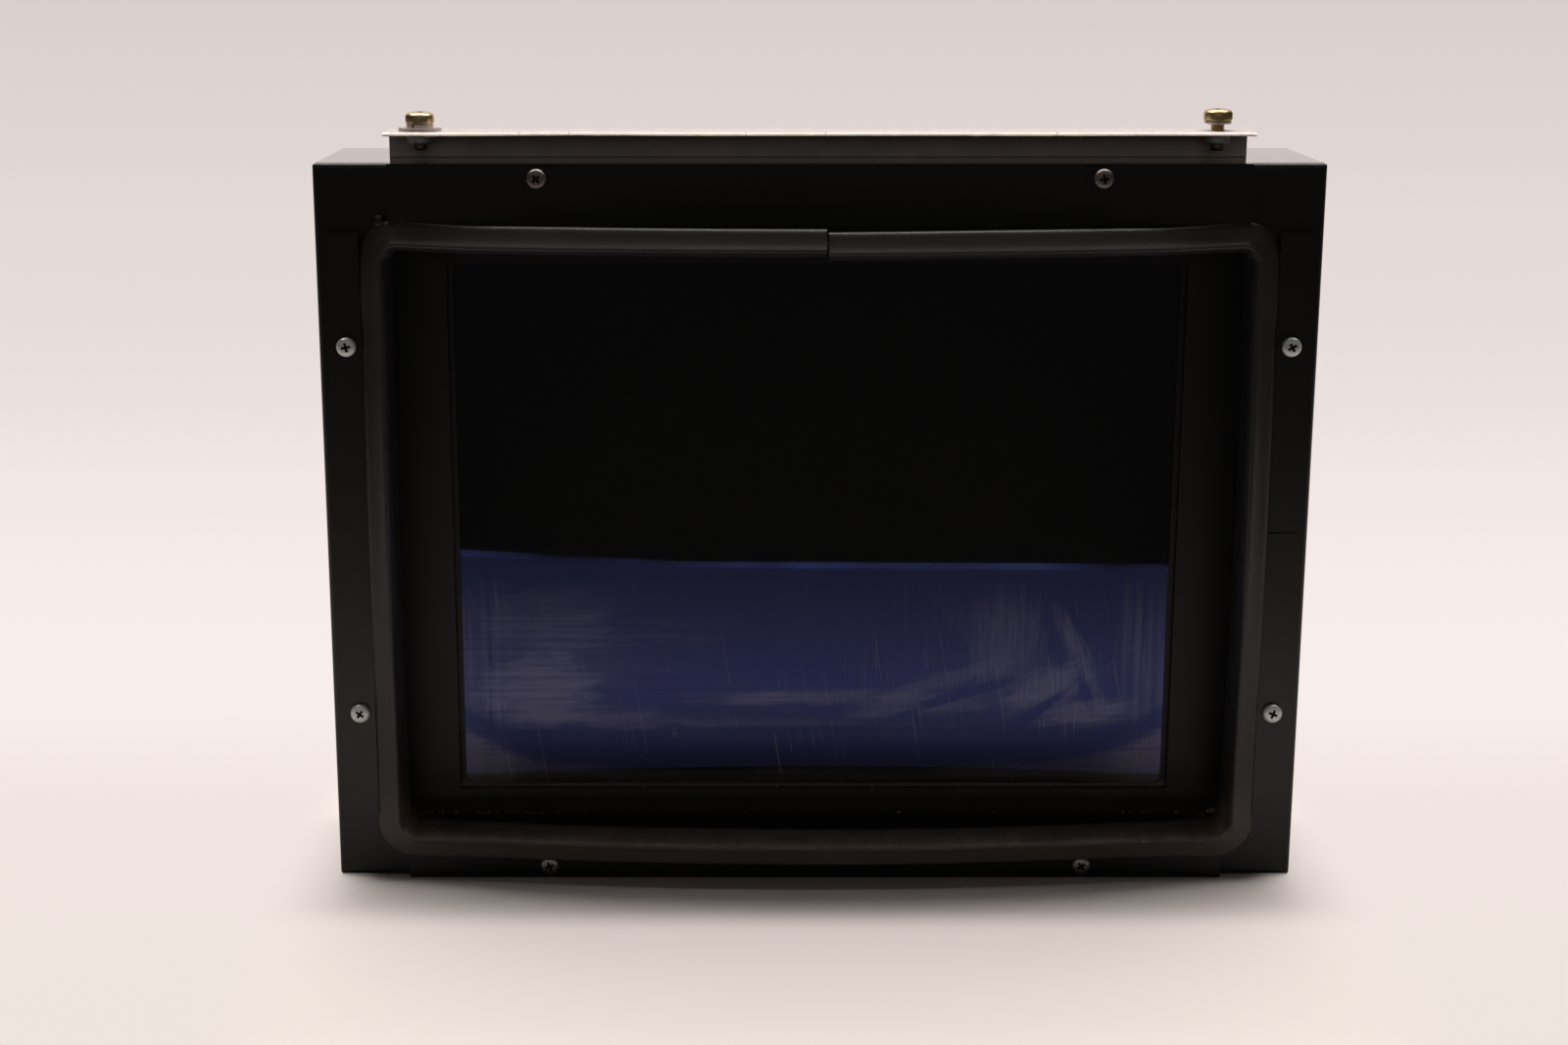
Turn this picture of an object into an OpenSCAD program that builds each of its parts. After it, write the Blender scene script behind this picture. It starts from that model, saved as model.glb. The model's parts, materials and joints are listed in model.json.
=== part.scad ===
// Flat-screen display unit that takes the place of a picture tube in a machine console.
// A folded steel box carries a hood whose front edge follows the bulged outline of a tube
// face. A rubber edge seal rides on that edge, and the flat panel sits deep behind a mask.
// Millimetres, +Z up, the screen faces -Y. The origin is the centre of the box's underside.

/* [Box] */
// Width of the box across the front
unit_w = 408; // [400:1:430]
// Height of the box
unit_h = 304; // [300:1:320]
// Depth of the box from its front face to its back face
unit_d = 72; // [70:1:100]
// Thickness of the folded sheet
sheet_t = 1.5; // [1:0.1:2]
// Outside radius of the folded edges
bend_r = 2; // [1.8:0.1:3]
// Width of the flanges turned in behind, which carry the rear cover
rear_flange_w = 13; // [11:1:20]

/* [Hood and seal] */
// Half width of the hood, measured to its inner face
hood_half_w = 178.4; // [170:0.1:180]
// Height of the hood's inner bottom face above the underside
hood_low_z = 17.2; // [16:0.1:30]
// Height of the hood's inner top face above the underside
hood_high_z = 271.4; // [260:0.1:273]
// Inside radius of the hood's two upper corners
hood_top_r = 6; // [6:0.5:15]
// Inside radius of the hood's two lower corners
hood_low_r = 7.5; // [6:0.5:15]
// Radius of the bulge that the hood's front edge follows
bulge_r = 1100; // [1050:10:1500]
// How far the hood's edge stands out of the box at the middle of its top run
hood_reach = 13.8; // [12:0.1:16]
// Distance from the box's front face back to the mask
mask_depth = 30; // [24:0.5:31]

/* [Screen] */
// Width of the picture
picture_w = 304.1; // [300:0.1:306]
// Height of the picture
picture_h = 228.1; // [225:0.1:230]
// Height of the middle of the picture above the underside
picture_mid_z = 144.5; // [142:0.5:147]
// Depth of the panel's glass behind the box's front face
screen_depth = 34; // [33:0.5:36]
// Depth of the lips folded back round the mask's window
mask_lip = 3; // [1.5:0.1:3]

/* [Retaining strips] */
// Thickness of the five strips that frame the hood
strip_t = 3; // [2:0.5:4]
// Length of the top and bottom strips
strip_l = 347; // [330:1:350]
// Length of the side strips, the right one cut in two
side_strip_l = 247; // [230:1:250]
// Spacing of the two screws of the top and of the bottom strip
strip_screw_pitch = 227.2; // [200:0.2:260]
// Spacing of the two screws at each side
side_screw_pitch = 156; // [140:1:170]

/* [Mounting bracket] */
// Length of the bracket along the top
bracket_l = 352.6; // [340:0.2:360]
// Height of the bracket above the box
bracket_h = 11.5; // [10:0.5:20]
// Distance from the box's front face back to the upright web
bracket_web_y = 26.5; // [24:0.5:30]
// How far the top flange reaches forward of the web
bracket_reach = 19.5; // [18:0.5:22]
// Spacing of the two M6 screws
bracket_screw_pitch = 325; // [300:1:330]

/* [Hidden] */

$fn = 48;
big = 1000;
eps = 0.05;
paint_black = [0.06, 0.055, 0.055];
rubber_black = [0.13, 0.12, 0.115];
zinc = [0.72, 0.70, 0.66];
yellow_zinc = [0.80, 0.66, 0.38];
steel = [0.62, 0.63, 0.65];
board_green = [0.10, 0.30, 0.18];

front_y = -unit_d / 2;
cover_y = unit_d / 2 - sheet_t;
hood_mid_z = (hood_low_z + hood_high_z) / 2;
top_rise = hood_high_z - hood_mid_z;
bulge_apex = -hood_reach - (bulge_r - sqrt(bulge_r ^ 2 - top_rise ^ 2));
mask_y = mask_depth;
mask_t = 1.2;
mask_edge = 195;
window_w = picture_w + 6;
window_h = picture_h + 4.3;
hood_flange_y = sheet_t;
hood_flange_half_w = 198;
hood_flange_low_z = 2.5;
hood_flange_high_z = unit_h - 2.5;
strip_half = strip_l / 2;
side_strip_out = unit_w / 2 - 4.8;
seal_out = 7.4;
strip_clear = 0.15;
side_strip_in = hood_half_w + seal_out + strip_clear;
side_mid_z = unit_h / 2;
strip_gap = 0.5;
top_screw_z = unit_h - 6;
low_screw_z = 6;
side_screw_x = 192.2;
m4_hole = 4.2;
flange_z = unit_h + bracket_h;
bolt_y = bracket_web_y - 7.5;
bolt_x = bracket_screw_pitch / 2;

// Panel stack, from the glass backwards
cell_t = 1.4;
film_t = 1.2;
guide_t = 6;
bezel_t = 0.8;
module_w = 326.5;
module_h = 253.5;
module_d = 12.4;
module_y = screen_depth - bezel_t - 0.05;
cell_y = screen_depth;
film_y = cell_y + cell_t + eps;
guide_y = film_y + film_t + eps;
reflector_y = guide_y + guide_t + eps;
frame_floor_y = reflector_y + 0.4 + eps;
guide_w = picture_w + 8;
guide_h = picture_h + 8;
lamp_d = 2.4;
lamp_z = guide_h / 2 + 3.2;
module_back_y = module_y + module_d;

// Boards behind the panel
spacer_h = 6;
board_t = 1.6;
board_back_y = unit_d - sheet_t - spacer_h;
board_y = board_back_y - board_t;
controller_at = [-70, 110];
controller_size = [150, 110];
inverter_at = [110, 120];
inverter_size = [34, 150];
spacer_inset = 5;
lead_x = inverter_at[0] + 13.4;
lead_socket_h = 5;
socket_x = controller_at[0] - 30;
socket_z = controller_at[1] - 25;
power_x = controller_at[0] + 40;
power_z = socket_z;
cover_screw_at = concat(
    [for (x = [-185, 0, 185]) for (z = [7.5, unit_h - 7.5]) [x, z]],
    [for (x = [-196.5, 196.5]) for (z = [95, 209]) [x, z]]);

// Everything below is drawn with y = 0 on the box's front face, and moved to the origin here
module unit_frame() {
    translate([0, front_y, 0]) children();
}

// A shape drawn flat in x and z, given a thickness from y = from backwards
module slab(from, thick) {
    translate([0, from + thick, 0]) rotate([90, 0, 0]) linear_extrude(thick) children();
}

module rect(x0, x1, z0, z1) {
    translate([x0, z0]) square([x1 - x0, z1 - z0]);
}

// Rectangle with the lower and upper corner radii given apart
module rounded_rect(half_w, z0, z1, low_r, top_r) {
    union() {
        translate([-half_w, z0 + low_r]) square([2 * half_w, z1 - z0 - low_r - top_r]);
        translate([-half_w + low_r, z0]) square([2 * (half_w - low_r), low_r + 1]);
        translate([-half_w + top_r, z1 - top_r - 1]) square([2 * (half_w - top_r), top_r + 1]);
        for (s = [-1, 1]) {
            translate([s * (half_w - low_r), z0 + low_r]) circle(low_r);
            translate([s * (half_w - top_r), z1 - top_r]) circle(top_r);
        }
    }
}

module holes(points, d, from, thick) {
    for (p = points)
        translate([p[0], from - 1, p[1]]) rotate([-90, 0, 0]) cylinder(d = d, h = thick + 2);
}

// Pan head screw with a cross recess, its axis along z and the head's underside at z = 0
module pan_head(d, h, recess, turn) {
    dome = d * 0.95;
    difference() {
        intersection() {
            cylinder(d = d, h = h);
            translate([0, 0, h - dome]) sphere(dome, $fn = 96);
        }
        rotate(turn)
            for (a = [0, 90])
                rotate(a) translate([-recess / 2, -recess / 8, h * 0.42]) cube([recess, recess / 4, h]);
    }
}

module pan_screw(d, head_d, head_h, shank, turn) {
    pan_head(head_d, head_h, head_d * 0.52, turn);
    translate([0, 0, -shank]) cylinder(d = d, h = shank);
}

// The same screw with its head towards the front, or towards the back
module front_screw(x, y, z, d, head_d, head_h, shank, turn) {
    translate([x, y, z]) rotate([90, 0, 0]) pan_screw(d, head_d, head_h, shank, turn);
}

module rear_screw(x, y, z, d, head_d, head_h, shank, turn) {
    translate([x, y, z]) rotate([-90, 0, 0]) pan_screw(d, head_d, head_h, shank, turn);
}

// Solid block of the box's outer form, its edges rounded as folded sheet is
module folded_block(w, h, d, r) {
    intersection() {
        slab(0, d) translate([0, h / 2]) rounded_rect(w / 2, -h / 2, h / 2, r, r);
        linear_extrude(h) translate([0, r]) {
            translate([-w / 2, 0]) square([w, d]);
            translate([-w / 2 + r, -r]) square([w - 2 * r, r + 1]);
            for (s = [-1, 1]) translate([s * (w / 2 - r), 0]) circle(r);
        }
        rotate([90, 0, 90]) linear_extrude(w, center = true) {
            translate([r, 0]) square([d, h]);
            translate([0, r]) square([r + 1, h - 2 * r]);
            for (z = [r, h - r]) translate([r, z]) circle(r);
        }
    }
}

// Where the bulged front edge lies at a point of the outline
function bulge_y(x, z) = bulge_apex + bulge_r - sqrt(bulge_r ^ 2 - x ^ 2 - (z - hood_mid_z) ^ 2);

module hood_outline(grow) {
    rounded_rect(hood_half_w + grow, hood_low_z - grow, hood_high_z + grow,
        hood_low_r + grow, hood_top_r + grow);
}

strip_screw_at = concat(
    [for (s = [-1, 1]) [s * strip_screw_pitch / 2, top_screw_z]],
    [for (s = [-1, 1]) [s * strip_screw_pitch / 2, low_screw_z]],
    [for (s = [-1, 1]) for (t = [-1, 1]) [s * side_screw_x, side_mid_z + t * side_screw_pitch / 2]]);
strip_screw_turn = [40, 10, 22, 35, 55, 12, 68, 30];
spacer_at = [for (s = [-1, 1]) for (z = [50, unit_h - 60]) [s * 188, z]];
rivet_at = [-177.5, 280.5];
flush_rivet_at = [176, 275];
rivet_holes = [rivet_at, flush_rivet_at];

module front_chassis() {
    color(paint_black) unit_frame() difference() {
        folded_block(unit_w, unit_h, unit_d - sheet_t, bend_r);
        difference() {
            translate([0, sheet_t, sheet_t])
                folded_block(unit_w - 2 * sheet_t, unit_h - 2 * sheet_t, unit_d, bend_r - sheet_t);
            slab(unit_d - 2 * sheet_t, sheet_t + 1) difference() {
                rect(-unit_w / 2, unit_w / 2, 0, unit_h);
                rect(-unit_w / 2 + rear_flange_w, unit_w / 2 - rear_flange_w,
                    rear_flange_w, unit_h - rear_flange_w);
            }
        }
        slab(-1, sheet_t + 2) hood_outline(sheet_t + 0.4);
        holes(strip_screw_at, m4_hole, 0, sheet_t);
        holes(rivet_holes, 3.1, 0, sheet_t);
        flush_head(5.2, 0.1);
        holes(cover_screw_at, 3.1, unit_d - 2 * sheet_t, sheet_t);
        for (x = foot_rivet_x)
            translate([x, foot_rivet_y, unit_h - 3]) cylinder(d = 4.1, h = 6);
    }
}

module vent_slot(x, z, l) {
    rect(x - 1.75, x + 1.75, z - l / 2, z + l / 2);
    for (s = [-1, 1]) translate([x, z + s * l / 2]) circle(1.75);
}

module rear_cover() {
    color(paint_black) unit_frame() difference() {
        slab(unit_d - sheet_t, sheet_t) difference() {
            translate([0, unit_h / 2])
                rounded_rect(unit_w / 2 - 0.4, -unit_h / 2 + 0.4, unit_h / 2 - 0.4, bend_r, bend_r);
            for (i = [-13:13]) {
                vent_slot(i * 10, unit_h - 45, 26);
                vent_slot(i * 10, 38, 16);
            }
            rect(socket_x - 9.6, socket_x + 9.6, socket_z - 5.4, socket_z + 5.4);
            rect(power_x - 11.2, power_x + 11.2, power_z - 5.2, power_z + 5.2);
        }
        holes(cover_screw_at, 3.4, unit_d - sheet_t, sheet_t);
        holes(board_screw_at, 3.2, unit_d - sheet_t, sheet_t);
        holes([for (s = [-1, 1]) [socket_x + s * 12.5, socket_z]], 5.2, unit_d - sheet_t, sheet_t);
    }
}

module rear_cover_screws() {
    color(steel) unit_frame()
        for (p = cover_screw_at) rear_screw(p[0], unit_d, p[1], 3, 5.6, 2.2, 7, p[0] + p[1]);
}

module contour_hood() {
    color(paint_black) unit_frame() difference() {
        union() {
            intersection() {
                slab(-40, mask_y + 40) difference() {
                    hood_outline(sheet_t);
                    hood_outline(0);
                }
                translate([0, bulge_apex + bulge_r, hood_mid_z]) sphere(bulge_r, $fn = 400);
            }
            slab(hood_flange_y + eps, sheet_t) difference() {
                rect(-hood_flange_half_w, hood_flange_half_w, hood_flange_low_z, hood_flange_high_z);
                hood_outline(sheet_t / 2);
            }
        }
        holes(strip_screw_at, m4_hole, hood_flange_y, sheet_t + eps);
        holes(rivet_holes, 3.1, hood_flange_y, sheet_t + eps);
        holes(spacer_at, 3.4, hood_flange_y, sheet_t + eps);
    }
}

// Section of the seal: [outward from the hood's inner face, forward of its edge], in order
seal_section = [
    [-0.1, -14], [-3.2, -14], [-3.9, -13], [-4.1, -10], [-4.1, -4], [-3.7, -1], [-2.9, 1.6],
    [-1.9, 3.3], [-1.1, 4.1], [-0.5, 4.2], [0.3, 3.7], [1, 3.45], [2.4, 3.35], [4.6, 3.2],
    [5.8, 3.05], [6.6, 2.6], [7.2, 1.8], [seal_out, 0.9], [seal_out, -0.5], [6.9, -1.5], [1.6, -1.5],
    [1.6, 0.05], [-0.1, 0.05]];
seat_gap = 0.05;
seal_lip = 1.5;

function arc_stations(cx, cz, r, from, steps) = [
    for (i = [0:steps]) let (a = from - 90 * i / steps)
        [cx + r * cos(a), cz + r * sin(a), cos(a), sin(a)]];
function run_stations(a, b, steps) = [
    for (i = [1:steps - 1]) let (t = i / steps)
        [a[0] + t * (b[0] - a[0]), a[1] + t * (b[1] - a[1]), a[2], a[3]]];

module edge_seal() {
    corner_steps = 7;
    top_steps = 22;
    side_steps = 15;
    tl = arc_stations(-hood_half_w + hood_top_r, hood_high_z - hood_top_r, hood_top_r, 180, corner_steps);
    tr = arc_stations(hood_half_w - hood_top_r, hood_high_z - hood_top_r, hood_top_r, 90, corner_steps);
    br = arc_stations(hood_half_w - hood_low_r, hood_low_z + hood_low_r, hood_low_r, 0, corner_steps);
    bl = arc_stations(-hood_half_w + hood_low_r, hood_low_z + hood_low_r, hood_low_r, -90, corner_steps);
    loop = concat(
        tl, run_stations(tl[corner_steps], tr[0], top_steps),
        tr, run_stations(tr[corner_steps], br[0], side_steps),
        br, run_stations(br[corner_steps], bl[0], top_steps),
        bl, run_stations(bl[corner_steps], tl[0], side_steps));
    n = len(loop);
    m = len(seal_section);
    points = [
        for (s = loop) for (p = seal_section)
            let (x = s[0] + p[0] * s[2], z = s[1] + p[0] * s[3], y = bulge_y(x, z) - p[1])
                [x, p[0] > sheet_t ? min(y, -seat_gap - (p[1] + seal_lip) * 0.05) : y, z]];
    faces = [
        for (i = [0:n - 1]) for (j = [0:m - 1])
            [i * m + j, ((i + 1) % n) * m + j, ((i + 1) % n) * m + (j + 1) % m, i * m + (j + 1) % m]];
    color(rubber_black) unit_frame() polyhedron(points, faces, convexity = 10);
}

module mask_panel() {
    low_z = picture_mid_z - window_h / 2;
    high_z = picture_mid_z + window_h / 2;
    half = window_w / 2;
    color(paint_black) unit_frame() difference() {
        union() {
            slab(mask_y, mask_t) difference() {
                rect(-mask_edge, mask_edge, 6, unit_h - 6);
                rect(-half, half, low_z, high_z);
            }
            slab(mask_y, mask_lip) difference() {
                rect(-half - mask_t, half + mask_t, low_z - mask_t, high_z + mask_t);
                rect(-half, half, low_z, high_z);
            }
            slab(mask_y, 6) difference() {
                rect(-mask_edge, mask_edge, 6, unit_h - 6);
                rect(-mask_edge + mask_t, mask_edge - mask_t, 6 + mask_t, unit_h - 6 - mask_t);
            }
        }
        holes(spacer_at, 3.4, mask_y, mask_t);
        holes(lcd_foot_at, 3.1, mask_y, mask_t);
    }
}

// Hexagonal spacers between the hood's flange and the mask
module mask_spacers() {
    from = hood_flange_y + eps + sheet_t;
    color(zinc) unit_frame()
        for (p = spacer_at) difference() {
            translate([p[0], from, p[1]]) rotate([-90, 0, 0]) cylinder(d = 7, h = mask_y - from, $fn = 6);
            translate([p[0], from - 1, p[1]]) rotate([-90, 0, 0]) cylinder(d = 3, h = mask_y);
        }
}

module mask_screws() {
    color(steel) unit_frame()
        for (p = spacer_at) {
            rear_screw(p[0], mask_y + mask_t, p[1], 2.9, 5.6, 2.2, 7, p[1]);
        }
}

module strip(x0, x1, z0, z1) {
    color(paint_black) unit_frame() difference() {
        slab(-strip_t, strip_t) rect(x0, x1, z0, z1);
        holes(strip_screw_at, m4_hole, -strip_t, strip_t);
    }
}

module strip_top() {
    strip(-strip_half, strip_half, hood_high_z + seal_out + strip_clear, unit_h);
}

module strip_bottom() {
    strip(-strip_half, strip_half, 0, hood_low_z - seal_out - strip_clear);
}

module strip_left() {
    strip(-side_strip_out, -side_strip_in, side_mid_z - side_strip_l / 2, side_mid_z + side_strip_l / 2);
}

module strip_right_upper() {
    strip(side_strip_in, side_strip_out, side_mid_z + strip_gap / 2, side_mid_z + side_strip_l / 2);
}

module strip_right_lower() {
    strip(side_strip_in, side_strip_out, side_mid_z - side_strip_l / 2, side_mid_z - strip_gap / 2);
}

module strip_screws() {
    color(zinc) unit_frame()
        for (i = [0:len(strip_screw_at) - 1])
            front_screw(strip_screw_at[i][0], -strip_t, strip_screw_at[i][1],
                4, 8, 2.9, 8, strip_screw_turn[i]);
}

// Countersunk head of the rivet that lies flush under the seal's lip
module flush_head(d, proud) {
    translate([flush_rivet_at[0], -proud, flush_rivet_at[1]]) rotate([-90, 0, 0])
        cylinder(d1 = d, d2 = 3, h = 1.2 + proud);
}

module hood_rivets() {
    color(paint_black) unit_frame() {
        translate([rivet_at[0], 0, rivet_at[1]]) rotate([90, 0, 0]) intersection() {
            cylinder(d = 5.6, h = 2.4);
            translate([0, 0, 2.4 - 3.2]) sphere(3.2);
        }
        flush_head(5, 0);
        for (p = rivet_holes) translate([p[0], 0, p[1]]) rotate([-90, 0, 0]) cylinder(d = 3, h = 4);
    }
}

// Steel bezel of the panel, folded round its edge
module lcd_bezel() {
    z = picture_mid_z;
    color(steel) unit_frame() difference() {
        slab(module_y, module_d) rect(-module_w / 2, module_w / 2, z - module_h / 2, z + module_h / 2);
        slab(module_y + bezel_t, module_d)
            rect(-module_w / 2 + bezel_t, module_w / 2 - bezel_t,
                z - module_h / 2 + bezel_t, z + module_h / 2 - bezel_t);
        slab(module_y - 1, bezel_t + 2)
            rounded_rect(picture_w / 2 + 0.7, z - picture_h / 2 - 0.7, z + picture_h / 2 + 0.7, 4, 4);
        for (s = [-1, 1]) for (dz = [-80, 80])
            translate([s * module_w / 2, module_y + 7, z + dz]) rotate([0, 90, 0])
                cylinder(d = 2.8, h = 4, center = true);
    }
}

module panel_layer(y, thick, grow_w, grow_h) {
    unit_frame() slab(y, thick)
        rect(-picture_w / 2 - grow_w, picture_w / 2 + grow_w,
            picture_mid_z - picture_h / 2 - grow_h, picture_mid_z + picture_h / 2 + grow_h);
}

module lcd_cell() {
    color([0.10, 0.09, 0.17]) panel_layer(cell_y, cell_t, 8, 7);
}

module diffuser_sheets() {
    color([0.92, 0.92, 0.90]) panel_layer(film_y, film_t, 4, 4);
}

module light_guide() {
    color([0.85, 0.92, 0.95]) panel_layer(guide_y, guide_t, 4, 4);
}

module reflector_sheet() {
    color([0.95, 0.95, 0.95]) panel_layer(reflector_y, 0.4, 4, 4);
}

module backlight_lamps() {
    color([0.97, 0.96, 0.92]) unit_frame()
        for (s = [-1, 1])
            translate([0, guide_y + guide_t / 2, picture_mid_z + s * lamp_z]) rotate([0, 90, 0])
                cylinder(d = lamp_d, h = guide_w - 4, center = true, $fn = 24);
}

// Channels of bright sheet that hold each lamp against the edge of the light guide
module lamp_reflectors() {
    color([0.85, 0.86, 0.88]) unit_frame()
        for (s = [-1, 1]) translate([0, guide_y, picture_mid_z + s * (guide_h / 2 + eps)])
            mirror([0, 0, s < 0 ? 1 : 0]) rotate([90, 0, 90]) linear_extrude(guide_w, center = true)
                difference() {
                    square([guide_t, 5.6]);
                    translate([0.4, -1]) square([guide_t - 0.8, 6.2]);
                }
}

// Moulded frame that holds the stack, with a window over the reflector
module lcd_frame() {
    z = picture_mid_z;
    half_w = module_w / 2 - bezel_t - 0.2;
    half_h = module_h / 2 - bezel_t - 0.2;
    pocket_h = guide_h / 2 + 5.9;
    color([0.90, 0.90, 0.88]) unit_frame() difference() {
        slab(film_y, frame_floor_y + 1.2 - film_y) rect(-half_w, half_w, z - half_h, z + half_h);
        slab(film_y - 1, frame_floor_y + 1 - film_y)
            rect(-guide_w / 2 - 0.2, guide_w / 2 + 0.2, z - pocket_h, z + pocket_h);
        slab(frame_floor_y - 1, 4) for (s = [-1, 1])
            rect(s * 75 - 68, s * 75 + 68, z - 98, z + 98);
        for (s = [-1, 1]) for (dz = [-80, 80])
            translate([s * module_w / 2, module_y + 7, z + dz]) rotate([0, 90, 0])
                cylinder(d = 2.6, h = 12, center = true);
    }
}

module panel_board() {
    y = frame_floor_y + 1.2 + eps;
    color(board_green) unit_frame() {
        slab(y, 1) rect(-120, 120, picture_mid_z + 62, picture_mid_z + 92);
        slab(y + 1, 1.6) for (x = [-80, -30, 20, 70])
            rect(x - 7, x + 7, picture_mid_z + 70, picture_mid_z + 84);
        slab(y + 1, 3) rect(-13, 13, picture_mid_z + 63, picture_mid_z + 68);
    }
}

// Angle that holds one side of the panel to the back of the mask, drawn for the right side
lcd_side_x = module_w / 2 + eps;
lcd_foot_at = [for (s = [-1, 1]) for (dz = [-90, 0, 90]) [s * 182, picture_mid_z + dz]];

module lcd_bracket(side) {
    t = 1.2;
    from = mask_y + mask_t + eps;
    low = picture_mid_z - 100;
    color(zinc) unit_frame() mirror([side < 0 ? 1 : 0, 0, 0]) difference() {
        union() {
            translate([lcd_side_x, from, low]) cube([t, module_back_y - from - 1, 200]);
            translate([lcd_side_x, from, low]) cube([21.5, t, 200]);
        }
        for (dz = [-80, 80])
            translate([lcd_side_x - 1, module_y + 7, picture_mid_z + dz]) rotate([0, 90, 0])
                cylinder(d = 3.2, h = 4);
        holes([for (p = lcd_foot_at) if (p[0] > 0) p], 3.4, from, t);
    }
}

module lcd_bracket_left() {
    lcd_bracket(-1);
}

module lcd_bracket_right() {
    lcd_bracket(1);
}

module lcd_side_screws() {
    color(steel) unit_frame()
        for (s = [-1, 1]) for (dz = [-80, 80])
            translate([s * (lcd_side_x + 1.2), module_y + 7, picture_mid_z + dz]) rotate([0, s * 90, 0])
                pan_screw(2.5, 5, 1.8, 5, dz);
}

module lcd_bracket_screws() {
    color(steel) unit_frame()
        for (p = lcd_foot_at)
            rear_screw(p[0], mask_y + mask_t + eps + 1.2, p[1], 2.9, 5.6, 2.2, 4, p[1]);
}

function board_corners(at, size) = [
    for (s = [-1, 1]) for (t = [-1, 1])
        [at[0] + s * (size[0] / 2 - spacer_inset), at[1] + t * (size[1] / 2 - spacer_inset)]];
board_screw_at = concat(
    board_corners(controller_at, controller_size), board_corners(inverter_at, inverter_size));

module board(at, size) {
    color(board_green) unit_frame() difference() {
        slab(board_y, board_t)
            rect(at[0] - size[0] / 2, at[0] + size[0] / 2, at[1] - size[1] / 2, at[1] + size[1] / 2);
        holes(board_corners(at, size), 3.2, board_y, board_t);
    }
}

// A part soldered to the front of a board: centre, width, height and how far it stands off
module on_board(x, z, w, h, tall) {
    slab(board_y - tall, tall) rect(x - w / 2, x + w / 2, z - h / 2, z + h / 2);
}

module controller_board() {
    board(controller_at, controller_size);
}

module controller_parts() {
    x = controller_at[0];
    z = controller_at[1];
    color([0.12, 0.12, 0.13]) unit_frame() {
        on_board(x - 10, z + 12, 28, 28, 2.2);
        on_board(x + 30, z + 18, 18, 10, 1.6);
        on_board(x + 30, z + 34, 18, 10, 1.6);
        on_board(x - 46, z + 30, 12, 20, 2);
        on_board(x - 10, z + 44, 26, 6, 4);
        for (dx = [20, 34, 48])
            translate([x + dx, board_y, z - 12]) rotate([90, 0, 0]) cylinder(d = 10, h = 11);
    }
}

module inverter_board() {
    board(inverter_at, inverter_size);
}

module inverter_coils() {
    color([0.75, 0.62, 0.35]) unit_frame()
        for (dz = [-38, 12]) {
            on_board(inverter_at[0], inverter_at[1] + dz, 22, 26, 9);
            on_board(lead_x, inverter_at[1] + dz + 26, 7, 7, lead_socket_h);
        }
}

// Fifteen-pole socket: its shell passes the cover and its flange bears on the inside
module signal_socket() {
    color(steel) unit_frame() difference() {
        union() {
            slab(board_back_y + eps, unit_d - sheet_t - board_back_y - 1.2 - eps)
                rect(socket_x - 9, socket_x + 9, socket_z - 5.5, socket_z + 5.5);
            slab(unit_d - sheet_t - 1.25, 1.2)
                rect(socket_x - 15.4, socket_x + 15.4, socket_z - 6.2, socket_z + 6.2);
            slab(unit_d - sheet_t - eps, 7.4) socket_face(8.8, 4.6);
            for (s = [-1, 1]) translate([socket_x + s * 12.5, unit_d - sheet_t - 1, socket_z])
                rotate([-90, 0, 0]) cylinder(d = 5, h = 7.4, $fn = 6);
        }
        slab(unit_d + 1, 6) socket_face(8.2, 4);
        for (s = [-1, 1]) translate([socket_x + s * 12.5, unit_d + 1, socket_z])
            rotate([-90, 0, 0]) cylinder(d = 3, h = 8);
    }
}

module socket_face(half_w, half_h) {
    polygon([
        [socket_x - half_w, socket_z + half_h], [socket_x + half_w, socket_z + half_h],
        [socket_x + half_w - 1.6, socket_z - half_h], [socket_x - half_w + 1.6, socket_z - half_h]]);
}

// Three-pole terminal for the supply
module power_terminal() {
    color([0.15, 0.32, 0.22]) unit_frame() difference() {
        slab(board_back_y + eps, unit_d + 4 - board_back_y)
            rect(power_x - 10.9, power_x + 10.9, power_z - 5, power_z + 5);
        for (i = [-1:1]) slab(unit_d - 2, 8)
            rect(power_x + i * 7 - 2.6, power_x + i * 7 + 2.6, power_z - 3, power_z + 3);
    }
}

module board_spacers() {
    color(zinc) unit_frame()
        for (p = board_screw_at) translate([p[0], board_back_y, p[1]]) rotate([-90, 0, 0]) difference() {
            cylinder(d = 6, h = spacer_h, $fn = 6);
            translate([0, 0, -1]) cylinder(d = 3.1, h = spacer_h + 2);
        }
}

module board_screws() {
    color(steel) unit_frame()
        for (p = board_screw_at) {
            front_screw(p[0], board_y, p[1], 3, 5.6, 2.2, 4.4, p[0]);
            rear_screw(p[0], unit_d, p[1], 3, 5.6, 2.2, 4.4, p[1]);
        }
}

// Flat ribbon from the controller to the board on the back of the panel
module panel_ribbon() {
    x = controller_at[0] - 10;
    from_z = controller_at[1] + 44;
    to_z = picture_mid_z + 65.5;
    near_y = frame_floor_y + 1.2 + eps + 4 + eps;
    far_y = board_y - 4 - eps;
    mid_z = from_z + 8;
    color([0.85, 0.85, 0.82]) unit_frame() translate([x, 0, 0]) rotate([90, 0, 90])
        linear_extrude(22, center = true) polygon([
            [far_y, from_z - 2], [far_y, mid_z], [near_y + 0.8, mid_z + 14], [near_y + 0.8, to_z + 2],
            [near_y, to_z + 2], [near_y, mid_z + 13.6], [far_y - 0.8, mid_z - 0.4], [far_y - 0.8, from_z - 2]]);
}

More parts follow.
